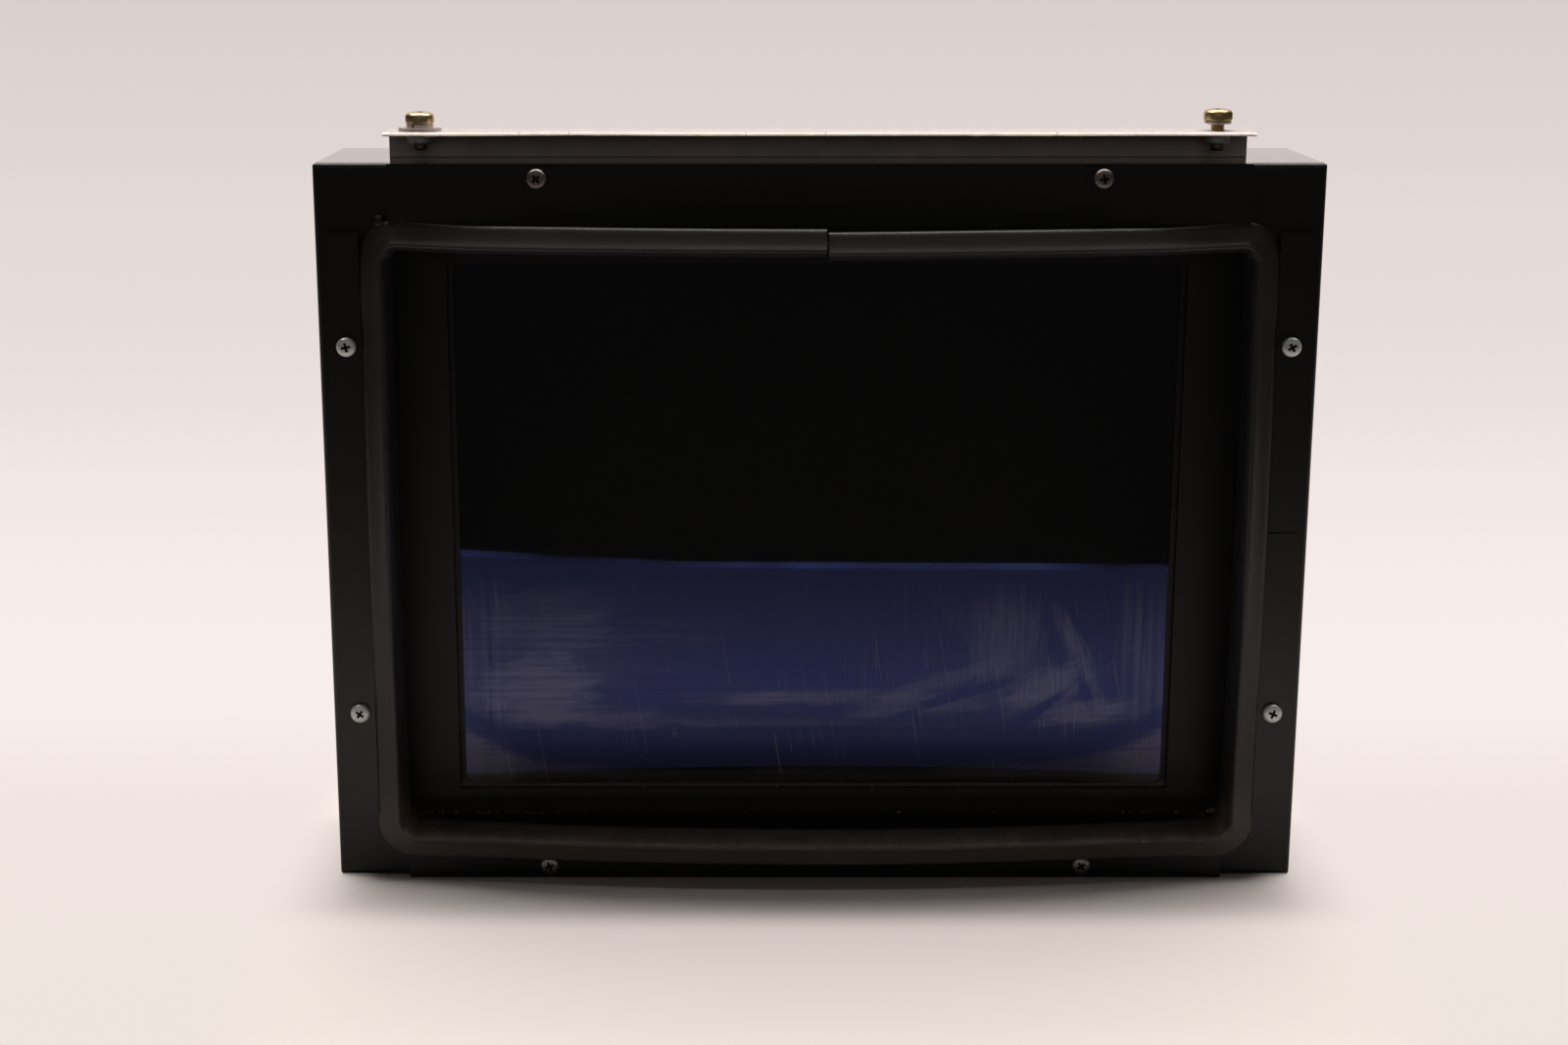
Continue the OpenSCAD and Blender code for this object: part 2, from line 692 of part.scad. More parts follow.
// Two leads from the inverter to the lamp ends at the panel's right side
module lamp_leads() {
    side_x = module_w / 2 + 8;
    out_y = board_y - lead_socket_h - 2.5;
    end_y = module_back_y - 3;
    color([0.85, 0.3, 0.35]) unit_frame()
        for (s = [-1, 1]) {
            z = picture_mid_z + s * 108;
            zc = inverter_at[1] + (s > 0 ? 38 : -12);
            lead_run([[lead_x, board_y - lead_socket_h, zc], [lead_x, out_y, zc], [lead_x, out_y, z],
                [side_x, out_y, z], [side_x, end_y, z], [module_w / 2 + eps, end_y, z]], 2.2);
        }
}

module lead_run(points, d) {
    for (i = [0:len(points) - 2]) {
        v = points[i + 1] - points[i];
        l = norm(v);
        translate(points[i]) rotate([0, acos(v[2] / l), atan2(v[1], v[0])]) cylinder(d = d, h = l, $fn = 16);
        if (i > 0)
            translate(points[i]) sphere(d = d, $fn = 16);
    }
}

foot_rivet_x = [-150, -50, 50, 150];
foot_rivet_y = bracket_web_y + 11;

// Quarter ring that joins two legs of folded sheet, about its own centre
module bend(inner_r, t) {
    difference() {
        circle(inner_r + t);
        circle(inner_r);
        translate([-20, -40]) square(40);
        translate([-40, -20]) square(40);
    }
}

// Z-section bracket along the top: foot, upright web and a flange that reaches forward
module mounting_bracket() {
    t = sheet_t;
    r = 0.5;
    web = bracket_web_y;
    low = unit_h;
    front = web - bracket_reach;
    color(zinc) unit_frame() difference() {
        rotate([90, 0, 90]) linear_extrude(bracket_l, center = true) {
            translate([front, flange_z - t]) square([bracket_reach - r, t]);
            translate([web - r, flange_z - t - r]) bend(r, t);
            translate([web, low + t + r]) square([t, bracket_h - 2 * (t + r)]);
            translate([web + t + r, low + t + r]) rotate(180) bend(r, t);
            translate([web + t + r, low]) square([16, t]);
        }
        for (s = [-1, 1]) translate([s * bolt_x, bolt_y, flange_z - 5]) cylinder(d = 6.6, h = 10);
        for (x = foot_rivet_x) translate([x, foot_rivet_y, low - 1]) cylinder(d = 4.1, h = 5);
        for (x = [-121, -101])
            translate([x, front - 0.6, flange_z]) rotate([0, 45, 0]) cube([1.1, 1.4, 1.1], center = true);
    }
}

module bracket_rivets() {
    color(steel) unit_frame()
        for (x = foot_rivet_x) translate([x, foot_rivet_y, unit_h + sheet_t]) {
            intersection() {
                cylinder(d = 7.6, h = 2);
                translate([0, 0, -3.4]) sphere(5.4);
            }
            translate([0, 0, -4.5]) cylinder(d = 4, h = 4.5);
        }
}

module clinch_nuts() {
    h = 3.9;
    color(zinc) unit_frame()
        for (s = [-1, 1]) translate([s * bolt_x, bolt_y, flange_z - sheet_t - h]) rotate_extrude()
            polygon([[3.05, 0.5], [3.5, 0], [4.4, 0], [5.25, 0.9], [5.25, h], [3.05, h]]);
}

washer_t = 1.3;
spring_t = 1.6;
left_seat = flange_z + washer_t + spring_t;
right_seat = flange_z + 2.6 + spring_t;

module m6_screw(x, seat, shank, turn) {
    color(yellow_zinc) unit_frame() translate([x, bolt_y, seat]) pan_screw(6, 11.8, 4.6, shank, turn);
}

module bracket_screw_left() {
    m6_screw(-bolt_x, left_seat, 10.8, 20);
}

// Unscrewed by about two and a half millimetres
module bracket_screw_right() {
    m6_screw(bolt_x, right_seat, 12.4, 65);
}

module spring_washer(x, z, turn) {
    translate([x, bolt_y, z]) rotate(turn) rotate_extrude(angle = 350)
        translate([3.1, 0]) square([2.4, spring_t]);
}

module spring_washers() {
    color(zinc) unit_frame() {
        spring_washer(-bolt_x, flange_z + washer_t, 300);
        spring_washer(bolt_x, right_seat - spring_t, 250);
    }
}

module flat_washer() {
    color(zinc) unit_frame() translate([-bolt_x, bolt_y, flange_z]) difference() {
        cylinder(d = 17.5, h = washer_t);
        translate([0, 0, -1]) cylinder(d = 6.4, h = washer_t + 2);
    }
}

front_chassis();
rear_cover();
rear_cover_screws();
contour_hood();
edge_seal();
mask_panel();
mask_spacers();
mask_screws();
strip_top();
strip_bottom();
strip_left();
strip_right_upper();
strip_right_lower();
strip_screws();
hood_rivets();
lcd_bezel();
lcd_cell();
diffuser_sheets();
light_guide();
reflector_sheet();
backlight_lamps();
lamp_reflectors();
lcd_frame();
panel_board();
lcd_bracket_left();
lcd_bracket_right();
lcd_side_screws();
lcd_bracket_screws();
controller_board();
controller_parts();
signal_socket();
power_terminal();
inverter_board();
inverter_coils();
board_spacers();
board_screws();
panel_ribbon();
lamp_leads();
mounting_bracket();
bracket_rivets();
clinch_nuts();
bracket_screw_left();
bracket_screw_right();
spring_washers();
flat_washer();
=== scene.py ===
"""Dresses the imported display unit: finishes, edge seal, screws, bracket, dust, camera and stage."""
import json
import math
import random

import bpy
from mathutils import Matrix, Vector, noise


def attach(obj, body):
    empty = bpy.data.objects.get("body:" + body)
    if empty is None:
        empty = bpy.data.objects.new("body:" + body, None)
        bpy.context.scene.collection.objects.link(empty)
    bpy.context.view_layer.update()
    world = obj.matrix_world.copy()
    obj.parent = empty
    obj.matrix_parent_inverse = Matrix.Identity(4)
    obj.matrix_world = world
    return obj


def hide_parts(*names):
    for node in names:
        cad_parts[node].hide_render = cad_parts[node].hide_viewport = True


bl_info = {
    "name": "Display unit dressing",
    "version": (1, 0, 0),
    "blender": (4, 5, 0),
    "location": "View3D > Sidebar > Display unit",
    "description": "Finishes, seal, fasteners, dust and a stage for a flat-panel display unit",
    "category": "Object",
}

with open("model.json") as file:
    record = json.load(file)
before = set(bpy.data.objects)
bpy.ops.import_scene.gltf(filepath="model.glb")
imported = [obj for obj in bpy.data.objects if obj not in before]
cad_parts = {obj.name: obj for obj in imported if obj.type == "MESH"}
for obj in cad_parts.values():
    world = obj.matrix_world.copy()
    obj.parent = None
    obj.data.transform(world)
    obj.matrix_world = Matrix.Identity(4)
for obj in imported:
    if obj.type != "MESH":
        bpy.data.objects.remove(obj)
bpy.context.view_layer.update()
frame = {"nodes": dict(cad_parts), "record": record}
MM = 0.001

# Sizes that the CAD source states, in millimetres with y = 0 on the box's front face
FRONT_Y = -36.0
HOOD_HALF_W = 178.4
HOOD_LOW_Z = 17.2
HOOD_HIGH_Z = 271.4
HOOD_TOP_R = 6.0
HOOD_LOW_R = 7.5
HOOD_REACH = 13.8
BULGE_R = 1100.0
SHEET_T = 1.5
STRIP_T = 3.0
BOX_TOP_Z = 304.0
HOOD_MID_Z = (HOOD_LOW_Z + HOOD_HIGH_Z) / 2
BULGE_APEX = -HOOD_REACH - (BULGE_R - math.sqrt(BULGE_R ** 2 - (HOOD_HIGH_Z - HOOD_MID_Z) ** 2))
MASK_Y = 30.0
WINDOW_LOW_Z = 28.5
FLANGE_Z = 315.5
BOLT_X = 162.5
BOLT_Y = 19.0

# Fixed colours of dust, wear and dirt, and of some finishes, lamps and a painted glint
PALE_SPECK = (0.30, 0.28, 0.26)
RUBBED_PAINT = (0.20, 0.19, 0.18)
CORNER_DIRT = (0.26, 0.19, 0.145)
SILL_DUST = (0.28, 0.245, 0.22)
FOOT_DUST = (0.23, 0.18, 0.15)
CORNER_SMEAR = (0.27, 0.185, 0.13)
WORN_RUBBER = (0.20, 0.17, 0.15)
WIPED_HAZE = (0.36, 0.33, 0.30)
SCRATCHED_GLASS = (0.62, 0.60, 0.66)
GLASS_SPECK = (0.4, 0.38, 0.36)
BLUE_SHEEN = (0.222, 0.282, 1.0)
WARM_FILM = (1.0, 0.98, 0.92)
BOARD_GREEN = (0.012, 0.075, 0.035)
TRACK_GREEN = (0.03, 0.13, 0.06)
WARM_WHITE = (1.0, 0.955, 0.93)
# Colour of the painted glint that the table lip's strips give off
COLD_GLINT = (1.0, 0.93, 0.95)
BLACK = (0.0, 0.0, 0.0)


class DressingSizes(bpy.types.PropertyGroup):
    """Sizes of the dressed pieces."""
    thread_pitch: bpy.props.FloatProperty(
        name="Thread pitch", description="Pitch of the M6 screw threads", default=0.001,
        min=0.0005, max=0.0015, unit="LENGTH")
    seal_step: bpy.props.FloatProperty(
        name="Seal step", description="Distance between the sections of the seal along its runs",
        default=0.004, min=0.002, max=0.02, unit="LENGTH")
    joint_x: bpy.props.FloatProperty(
        name="Seal joint", description="Where the seal's two ends meet on the top run, from the middle",
        default=0.003, min=-0.1, max=0.1, unit="LENGTH")
    joint_step: bpy.props.FloatProperty(
        name="Joint step", description="How far the seal's left end stands proud of its right end",
        default=0.0009, min=0.0, max=0.002, unit="LENGTH")
    crumb_size: bpy.props.FloatProperty(
        name="Crumb size", description="Mean width of the crumbs caught along the bottom edge",
        default=0.0011, min=0.0003, max=0.003, unit="LENGTH")


# What all the colour properties share
TINT = {"subtype": "COLOR", "size": 3, "min": 0.0, "max": 1.0}


class DressingColours(bpy.types.PropertyGroup):
    """Colours of the finishes and of the stage."""
    paint: bpy.props.FloatVectorProperty(
        name="Paint", description="Satin black of the sheet-steel parts",
        default=(0.0045, 0.0042, 0.0042), **TINT)
    rubber: bpy.props.FloatVectorProperty(
        name="Rubber", description="Colour of the edge seal", default=(0.0090, 0.0080, 0.0078), **TINT)
    dust: bpy.props.FloatVectorProperty(
        name="Dust", description="Brownish dust that lies low on the unit",
        default=(0.16, 0.125, 0.10), **TINT)
    zinc: bpy.props.FloatVectorProperty(
        name="Zinc", description="Galvanised sheet and bright zinc screws",
        default=(0.64, 0.575, 0.53), **TINT)
    yellow: bpy.props.FloatVectorProperty(
        name="Yellow zinc", description="Yellow passivated zinc of the M6 screws",
        default=(0.68, 0.53, 0.27), **TINT)
    screen: bpy.props.FloatVectorProperty(
        name="Screen", description="The switched-off screen", default=(0.012, 0.012, 0.0045), **TINT)
    table: bpy.props.FloatVectorProperty(
        name="Table", description="Pale colour of the table and backdrop",
        default=(0.66, 0.61, 0.59), **TINT)


def sizes():
    return bpy.context.scene.unit_sizes


def colours():
    return bpy.context.scene.unit_colours


def toned(colour, share):
    """A colour darkened or lightened by a share."""
    return tuple(v * share for v in colour)


class Tree:
    """Short calls for building a node tree."""

    def __init__(self, tree):
        self.tree = tree

    def feed(self, socket, value):
        if isinstance(value, bpy.types.NodeSocket):
            self.tree.links.new(value, socket)
        elif socket.type == "RGBA":
            socket.default_value = (*value, 1.0)
        else:
            socket.default_value = value

    def add(self, kind, inputs=None, **settings):
        made = self.tree.nodes.new(kind)
        for key, value in settings.items():
            setattr(made, key, value)
        for key, value in (inputs or {}).items():
            self.feed(made.inputs[key], value)
        return made

    def math(self, operation, a, b=0.0, clamp=False):
        return self.add("ShaderNodeMath", {0: a, 1: b}, operation=operation, use_clamp=clamp).outputs[0]

    def plus(self, a, b, clamp=False):
        return self.math("ADD", a, b, clamp)

    def times(self, a, b, c=None, clamp=False):
        if c is not None:
            return self.times(self.times(a, b), c, clamp=clamp)
        return self.math("MULTIPLY", a, b, clamp)

    def minus(self, a, b):
        return self.math("SUBTRACT", a, b)

    def inverse(self, value):
        return self.minus(1.0, value)

    def most(self, a, b):
        return self.math("MAXIMUM", a, b)

    def mix(self, amount, a, b):
        made = self.add("ShaderNodeMix", data_type="RGBA")
        for name, value in (("Factor_Float", amount), ("A_Color", a), ("B_Color", b)):
            self.feed(next(s for s in made.inputs if s.identifier == name), value)
        return next(s for s in made.outputs if s.identifier == "Result_Color")

    def step(self, value, low, high):
        """0 at low, 1 at high, smooth between."""
        made = self.add("ShaderNodeMapRange", {0: value, 1: low, 2: high}, interpolation_type="SMOOTHSTEP")
        return made.outputs[0]

    def fall(self, value, low, high):
        """1 at low, 0 at high, smooth between."""
        return self.inverse(self.step(value, low, high))

    def band(self, value, low, high, soft):
        """1 between low and high, falling to 0 over soft outside them."""
        rise = self.step(value, low - soft, low)
        return self.times(rise, self.fall(value, high, high + soft))

    def noise(self, vector, scale, detail=3.0, roughness=0.5):
        inputs = {"Vector": vector, "Scale": scale, "Detail": detail, "Roughness": roughness}
        return self.add("ShaderNodeTexNoise", inputs).outputs["Fac"]

    def placed(self, vector, scale=(1.0, 1.0, 1.0), turn=0.0, shift=(0.0, 0.0, 0.0)):
        """A vector stretched, then turned about y, then shifted."""
        inputs = {"Vector": vector, "Scale": scale, "Rotation": (0.0, turn, 0.0), "Location": shift}
        return self.add("ShaderNodeMapping", inputs).outputs[0]

    def drawn(self, vector, scale, detail=3.0, roughness=0.5, turn=0.0):
        """Noise drawn out by a different scale along each axis."""
        return self.noise(self.placed(vector, scale, turn), 1.0, detail, roughness)

    def axis(self, vector, index):
        return self.add("ShaderNodeSeparateXYZ", {0: vector}).outputs[index]

    def aside(self, vector):
        """How far a place lies from the middle, left or right."""
        return self.math("ABSOLUTE", self.axis(vector, 0))

    def facing_up(self, low, high):
        normal = self.add("ShaderNodeNewGeometry").outputs["Normal"]
        return self.step(self.axis(normal, 2), low, high)

    def surface(self, **inputs):
        """Sets or links inputs of the material's Principled node."""
        shader = self.tree.nodes["Principled BSDF"]
        for key, value in inputs.items():
            self.feed(shader.inputs[key.replace("_", " ")], value)

    def bump(self, height, strength, distance):
        inputs = {"Height": height, "Strength": strength, "Distance": distance}
        self.surface(Normal=self.add("ShaderNodeBump", inputs).outputs[0])


GROUPS = {}


def group(name, inputs, outputs):
    """A new shader node group with named sockets: its tree and the insides of its two ends."""
    made = bpy.data.node_groups.new(name, "ShaderNodeTree")
    GROUPS[name] = made
    for labels, side in ((inputs, "INPUT"), (outputs, "OUTPUT")):
        for label in labels:
            kind = "Vector" if label == "Vector" else "Color" if label.endswith("Colour") else "Float"
            made.interface.new_socket(label, in_out=side, socket_type="NodeSocket" + kind)
    tree = Tree(made)
    given = tree.add("NodeGroupInput").outputs[:len(inputs)]
    return tree, given, tree.add("NodeGroupOutput").inputs


def grain_group():
    t, (where, scale, waviness), out = group("Coat grain", ("Vector", "Scale", "Waviness"), ("Height",))
    wide = t.noise(where, t.times(scale, 0.03), 1.0)
    t.feed(out["Height"], t.plus(t.noise(where, scale, 2.0), t.times(wide, waviness)))


def dust_group():
    t, (where, clean, dust, clean_rough, amount, low, high, ledge_amount), out = group(
        "Dust film", ("Vector", "Clean Colour", "Dust Colour", "Clean Roughness", "Amount", "Low", "High",
                      "Ledge Amount"), ("Colour", "Roughness", "Mask"))
    patchy = t.step(t.noise(where, 38.0, 5.0, 0.62), 0.30, 0.78)
    fine = t.noise(where, 900.0, 3.0, 0.7)
    film = t.times(t.fall(t.axis(where, 2), low, high), amount, t.plus(0.45, t.times(patchy, 0.8)))
    ledge = t.times(t.facing_up(0.35, 0.95), ledge_amount, t.plus(0.4, patchy))
    mask = t.times(t.plus(film, ledge), t.plus(0.55, t.times(fine, 0.9)), clamp=True)
    t.feed(out["Colour"], t.mix(mask, clean, dust))
    t.feed(out["Roughness"], t.plus(clean_rough, t.times(mask, 0.5), clamp=True))
    t.feed(out["Mask"], mask)


def speck_group():
    t, (where, scale, radius, share), out = group(
        "Specks", ("Vector", "Scale", "Radius", "Share"), ("Mask",))
    cell = t.add("ShaderNodeTexVoronoi", {"Vector": where, "Scale": scale}, feature="F1").outputs
    near = t.math("LESS_THAN", cell["Distance"], radius)
    chosen = t.math("LESS_THAN", t.axis(cell["Color"], 0), share)
    t.feed(out["Mask"], t.times(near, chosen))


def scratch_group():
    t, (where, density, width), out = group("Scratches", ("Vector", "Density", "Width"), ("Mask",))
    masks = []
    for turn, shift in ((0.35, 0.0), (-0.9, 3.0), (1.25, 7.0)):
        moved = t.placed(where, turn=turn, shift=(shift, 0.0, shift))
        lines = t.drawn(moved, (900.0, 1.0, 9.0), 0.0)
        patch = t.drawn(moved, (24.0, 24.0, 24.0), 1.0)
        hit = t.math("GREATER_THAN", lines, t.minus(0.84, width))
        shown = t.math("GREATER_THAN", patch, t.minus(0.72, density))
        masks.append(t.times(hit, shown))
    t.feed(out["Mask"], t.plus(t.plus(masks[0], masks[1]), masks[2], clamp=True))


def mottle_group():
    t, (where, patch_scale, cloud_scale, detail, softness), out = group(
        "Mottle", ("Vector", "Patch Scale", "Cloud Scale", "Detail", "Softness"), ("Shade", "Cloud"))
    patch = t.add("ShaderNodeTexVoronoi", {"Vector": where, "Scale": patch_scale}, feature="F1")
    cloud = t.noise(where, cloud_scale, detail, softness)
    spangle = t.times(t.axis(patch.outputs["Color"], 0), 0.16)
    t.feed(out["Shade"], t.plus(spangle, t.times(cloud, 0.30)))
    t.feed(out["Cloud"], cloud)


def sill_dust_group():
    t, (where, amount, low, high), out = group("Sill dust", ("Vector", "Amount", "Low", "High"), ("Mask",))
    uneven = t.plus(0.5, t.drawn(where, (45.0, 1.0, 1.0), 4.0, 0.7))
    t.feed(out["Mask"], t.times(t.fall(t.axis(where, 2), low, high), uneven, amount, clamp=True))


def use(t, name, **inputs):
    made = t.add("ShaderNodeGroup", node_tree=GROUPS[name])
    for key, value in inputs.items():
        t.feed(made.inputs[key.replace("_", " ")], value)
    return made.outputs


MATERIALS = {}


def material(name, source="ShaderNodeTexCoord", output="Object"):
    """A new material's tree, and the coordinates that its pattern follows."""
    made = bpy.data.materials.new(name)
    made.use_nodes = True
    MATERIALS[name] = made
    t = Tree(made.node_tree)
    return t, t.add(source).outputs[output]


def grain_bump(t, where, scale, waviness, strength, distance=0.0002):
    t.bump(use(t, "Coat grain", Vector=where, Scale=scale, Waviness=waviness)["Height"], strength, distance)


def settled_dust(t, where, low, high):
    """Where dust lies on surfaces that face up, thick at low and gone at high."""
    height = t.fall(t.axis(where, 2), low, high)
    torn = t.step(t.noise(where, 120.0, 6.0, 0.65), 0.25, 0.75)
    return t.times(t.facing_up(0.10, 0.80), height, t.plus(0.45, t.times(torn, 0.55)))


def make_paint(name, dust_amount, dust_high, ledge, clean_roughness, polished=False, corner_dust=0.0,
               sill_dust=0.0):
    """A satin black coat; polished makes its upward faces glossy, and the last two add local dust."""
    t, where = material(name)
    c = colours()
    dusted = use(t, "Dust film", Vector=where, Clean_Colour=c.paint, Dust_Colour=c.dust,
                 Clean_Roughness=clean_roughness, Amount=dust_amount, Low=-0.02, High=dust_high,
                 Ledge_Amount=ledge)
    specks = use(t, "Specks", Vector=where, Scale=95.0, Radius=0.035, Share=0.035)["Mask"]
    marks = use(t, "Scratches", Vector=where, Density=0.10, Width=0.03)["Mask"]
    spotted = t.mix(t.times(specks, 0.55), dusted["Colour"], PALE_SPECK)
    if corner_dust:
        low = t.fall(t.axis(where, 2), 0.018, 0.042)
        torn = t.step(t.noise(where, 260.0, 5.0, 0.7), 0.34, 0.62)
        lying = t.times(t.step(t.aside(where), 0.158, 0.176), low, t.times(torn, corner_dust))
        spotted = t.mix(lying, spotted, CORNER_DIRT)
    if sill_dust:
        t.surface(Specular_IOR_Level=0.38)
        lying = use(t, "Sill dust", Vector=where, Amount=sill_dust, Low=0.024, High=0.033)["Mask"]
        spotted = t.mix(lying, spotted, SILL_DUST)
    rough = dusted["Roughness"]
    if polished:
        up = t.facing_up(0.90, 0.99)
        t.surface(Coat_Weight=up, Coat_Roughness=0.06)
        rough = t.times(rough, t.inverse(t.times(up, 0.7)))
    t.surface(Base_Color=t.mix(t.times(marks, 0.05), spotted, RUBBED_PAINT), Roughness=rough)
    grain_bump(t, where, 1500.0, 2.0, 0.12)


def make_rubber():
    t, where = material("seal_rubber")
    c = colours()
    dusted = use(t, "Dust film", Vector=where, Clean_Colour=c.rubber, Dust_Colour=c.dust,
                 Clean_Roughness=0.50, Amount=0.04, Low=0.0, High=0.10, Ledge_Amount=0.03)
    along = t.drawn(where, (30.0, 60.0, 60.0), 4.0, 0.6)
    worn = t.times(t.step(along, 0.45, 0.75), 0.025)
    height = t.axis(where, 2)
    lying = t.times(settled_dust(t, where, 0.030, 0.060), 0.85)
    film = t.times(t.fall(height, 0.020, 0.050), 0.20)
    dull = t.mix(t.most(lying, film), dusted["Colour"], FOOT_DUST)
    near_end = t.band(t.aside(where), 0.163, 0.173, 0.003)
    torn = t.step(t.noise(where, 190.0, 5.0, 0.7), 0.36, 0.64)
    smeared = t.times(near_end, torn, t.band(height, 0.0225, 0.030, 0.005))
    dull = t.mix(t.times(smeared, 0.75), dull, CORNER_SMEAR)
    t.surface(Base_Color=t.mix(worn, dull, WORN_RUBBER), Coat_Weight=0.28, Coat_Roughness=0.20,
              Roughness=t.plus(dusted["Roughness"], t.times(along, 0.08)))
    grain_bump(t, where, 700.0, 1.5, 0.15, 0.0003)


def make_metal(name, base, roughness, patch=500.0, grain_scale=1500.0, metallic=1.0):
    t, where = material(name)
    mottle = use(t, "Mottle", Vector=where, Patch_Scale=patch, Cloud_Scale=160.0, Detail=4.0, Softness=0.6)
    t.surface(Base_Color=t.mix(mottle["Shade"], base, toned(base, 0.62)), Metallic=metallic,
              Roughness=t.plus(roughness, t.times(mottle["Cloud"], 0.15)))
    grain_bump(t, where, grain_scale, 1.0, 0.10)


def wipe_stroke(t, where, centre, turn, size, fine):
    """One wiped stroke on the screen: a soft oval, turned, whose inside is drawn out in fine lines."""
    turned = t.placed(t.placed(where, shift=(-centre[0], 0.0, -centre[1])), turn=turn)
    along = t.math("DIVIDE", t.axis(turned, 0), size[0])
    across = t.math("DIVIDE", t.axis(turned, 2), size[1])
    ragged = t.times(t.minus(t.drawn(turned, (60.0, 1.0, 300.0)), 0.5), 1.1)
    far = t.math("SQRT", t.plus(t.times(along, along), t.times(across, across)))
    inside = t.fall(t.plus(far, ragged), 0.35, 1.0)
    drawn = t.step(t.drawn(turned, (14.0, 1.0, fine), 3.0, 0.65), 0.30, 0.72)
    return t.times(inside, t.plus(0.55, t.times(drawn, 0.55)))


# Strokes in metres: middle (x, z), turn, half length and half width, then fineness of the lines and weight.
# A negative weight wipes haze away again.
STROKES = (
    ((-0.119, 0.072), 0.04, (0.032, 0.021), 300.0, 0.95),
    ((-0.095, 0.060), -0.03, (0.052, 0.0065), 420.0, 0.60),
    ((-0.114, 0.103), 0.03, (0.036, 0.024), 300.0, 0.42),
    ((0.000, 0.069), 0.02, (0.065, 0.0045), 520.0, 0.55),
    ((-0.020, 0.0575), 0.01, (0.060, 0.003), 620.0, 0.30),
    ((0.050, 0.0655), 0.10, (0.052, 0.006), 320.0, 0.40),
    ((0.084, 0.096), 1.45, (0.030, 0.022), 560.0, 0.46),
    ((0.101, 0.073), 0.45, (0.024, 0.012), 260.0, 0.90),
    ((0.120, 0.062), 0.10, (0.026, 0.008), 240.0, 0.95),
    ((0.116, 0.086), -1.15, (0.032, 0.006), 420.0, 0.55),
    ((0.058, 0.077), 0.30, (0.040, 0.005), 300.0, 0.38),
    ((0.098, 0.063), 0.62, (0.022, 0.0030), 200.0, -0.95),
    ((0.066, 0.0705), 0.30, (0.042, 0.0032), 200.0, -0.55),
    ((0.118, 0.074), -1.25, (0.020, 0.0035), 200.0, -0.55),
)
HALF_PICTURE = 0.152
WIPED_ARC_Z = 0.044


def smear_mask(t, where):
    """Where wiping has left a greyish haze on the lower half of the screen."""
    x = t.axis(where, 0)
    z = t.axis(where, 2)
    side = t.times(t.math("ABSOLUTE", x), 1.0 / HALF_PICTURE)
    sway = t.times(t.minus(t.drawn(where, (14.0, 1.0, 10.0), 2.0), 0.5), 0.010)
    curve = t.plus(t.plus(WIPED_ARC_Z, t.times(t.math("POWER", side, 6.0), 0.017)), sway)
    above = t.minus(z, curve)
    under = t.times(above, -1.0)
    # A clear band runs along the arc
    clear = t.band(above, -0.005, 0.0, 0.006)
    low = t.fall(z, 0.100, 0.132)
    broad = t.step(t.drawn(where, (9.0, 1.0, 16.0), 4.0, 0.55), 0.36, 0.70)
    level = t.step(t.drawn(where, (7.0, 1.0, 190.0), 4.0, 0.65), 0.30, 0.75)
    upright = t.step(t.drawn(where, (380.0, 1.0, 9.0), 4.0, 0.65), 0.30, 0.75)
    edge = t.band(side, 0.90, 1.0, 0.05)
    corner = t.times(t.step(under, 0.0, 0.012), t.step(side, 0.60, 0.98))
    middle = t.plus(0.01, t.times(broad, 0.20, t.plus(0.35, t.times(level, 0.8))))
    below = t.times(t.step(under, 0.0, 0.010), 0.34)
    wiped = t.plus(t.times(middle, t.step(above, 0.0, 0.012)), t.most(t.times(corner, 0.78), below))
    total = t.plus(wiped, t.times(edge, upright, 0.55))
    for *stroke, weight in STROKES:
        total = t.plus(total, t.times(wipe_stroke(t, where, *stroke), weight))
    # Brushed lines right of the middle
    brushed = t.drawn(where, (620.0, 1.0, 7.0), 4.0, 0.7, -0.16)
    patch = t.step(t.drawn(where, (30.0, 1.0, 30.0), 2.0), 0.46, 0.64)
    reach = t.times(t.band(x, -0.01, 0.125, 0.02), t.band(z, 0.050, 0.118, 0.012))
    lines = t.times(t.step(brushed, 0.56, 0.72), t.times(patch, reach))
    total = t.most(t.plus(total, t.times(lines, 0.95)), 0.01)
    # Fine streaks, flat on the left and upright on the right
    flat = t.step(t.drawn(where, (8.0, 1.0, 520.0), 5.0, 0.7), 0.34, 0.66)
    upward = t.step(t.drawn(where, (820.0, 1.0, 14.0), 5.0, 0.7), 0.34, 0.66)
    turning = t.times(t.step(x, -0.03, 0.03), t.step(z, 0.055, 0.075))
    streak = t.plus(t.times(flat, t.inverse(turning)), t.times(upward, turning))
    total = t.times(total, t.plus(0.62, t.times(streak, 0.76)))
    total = t.plus(total, t.times(streak, 0.035))
    total = t.times(total, t.inverse(t.times(clear, 0.80)))
    return t.times(total, low, clamp=True)


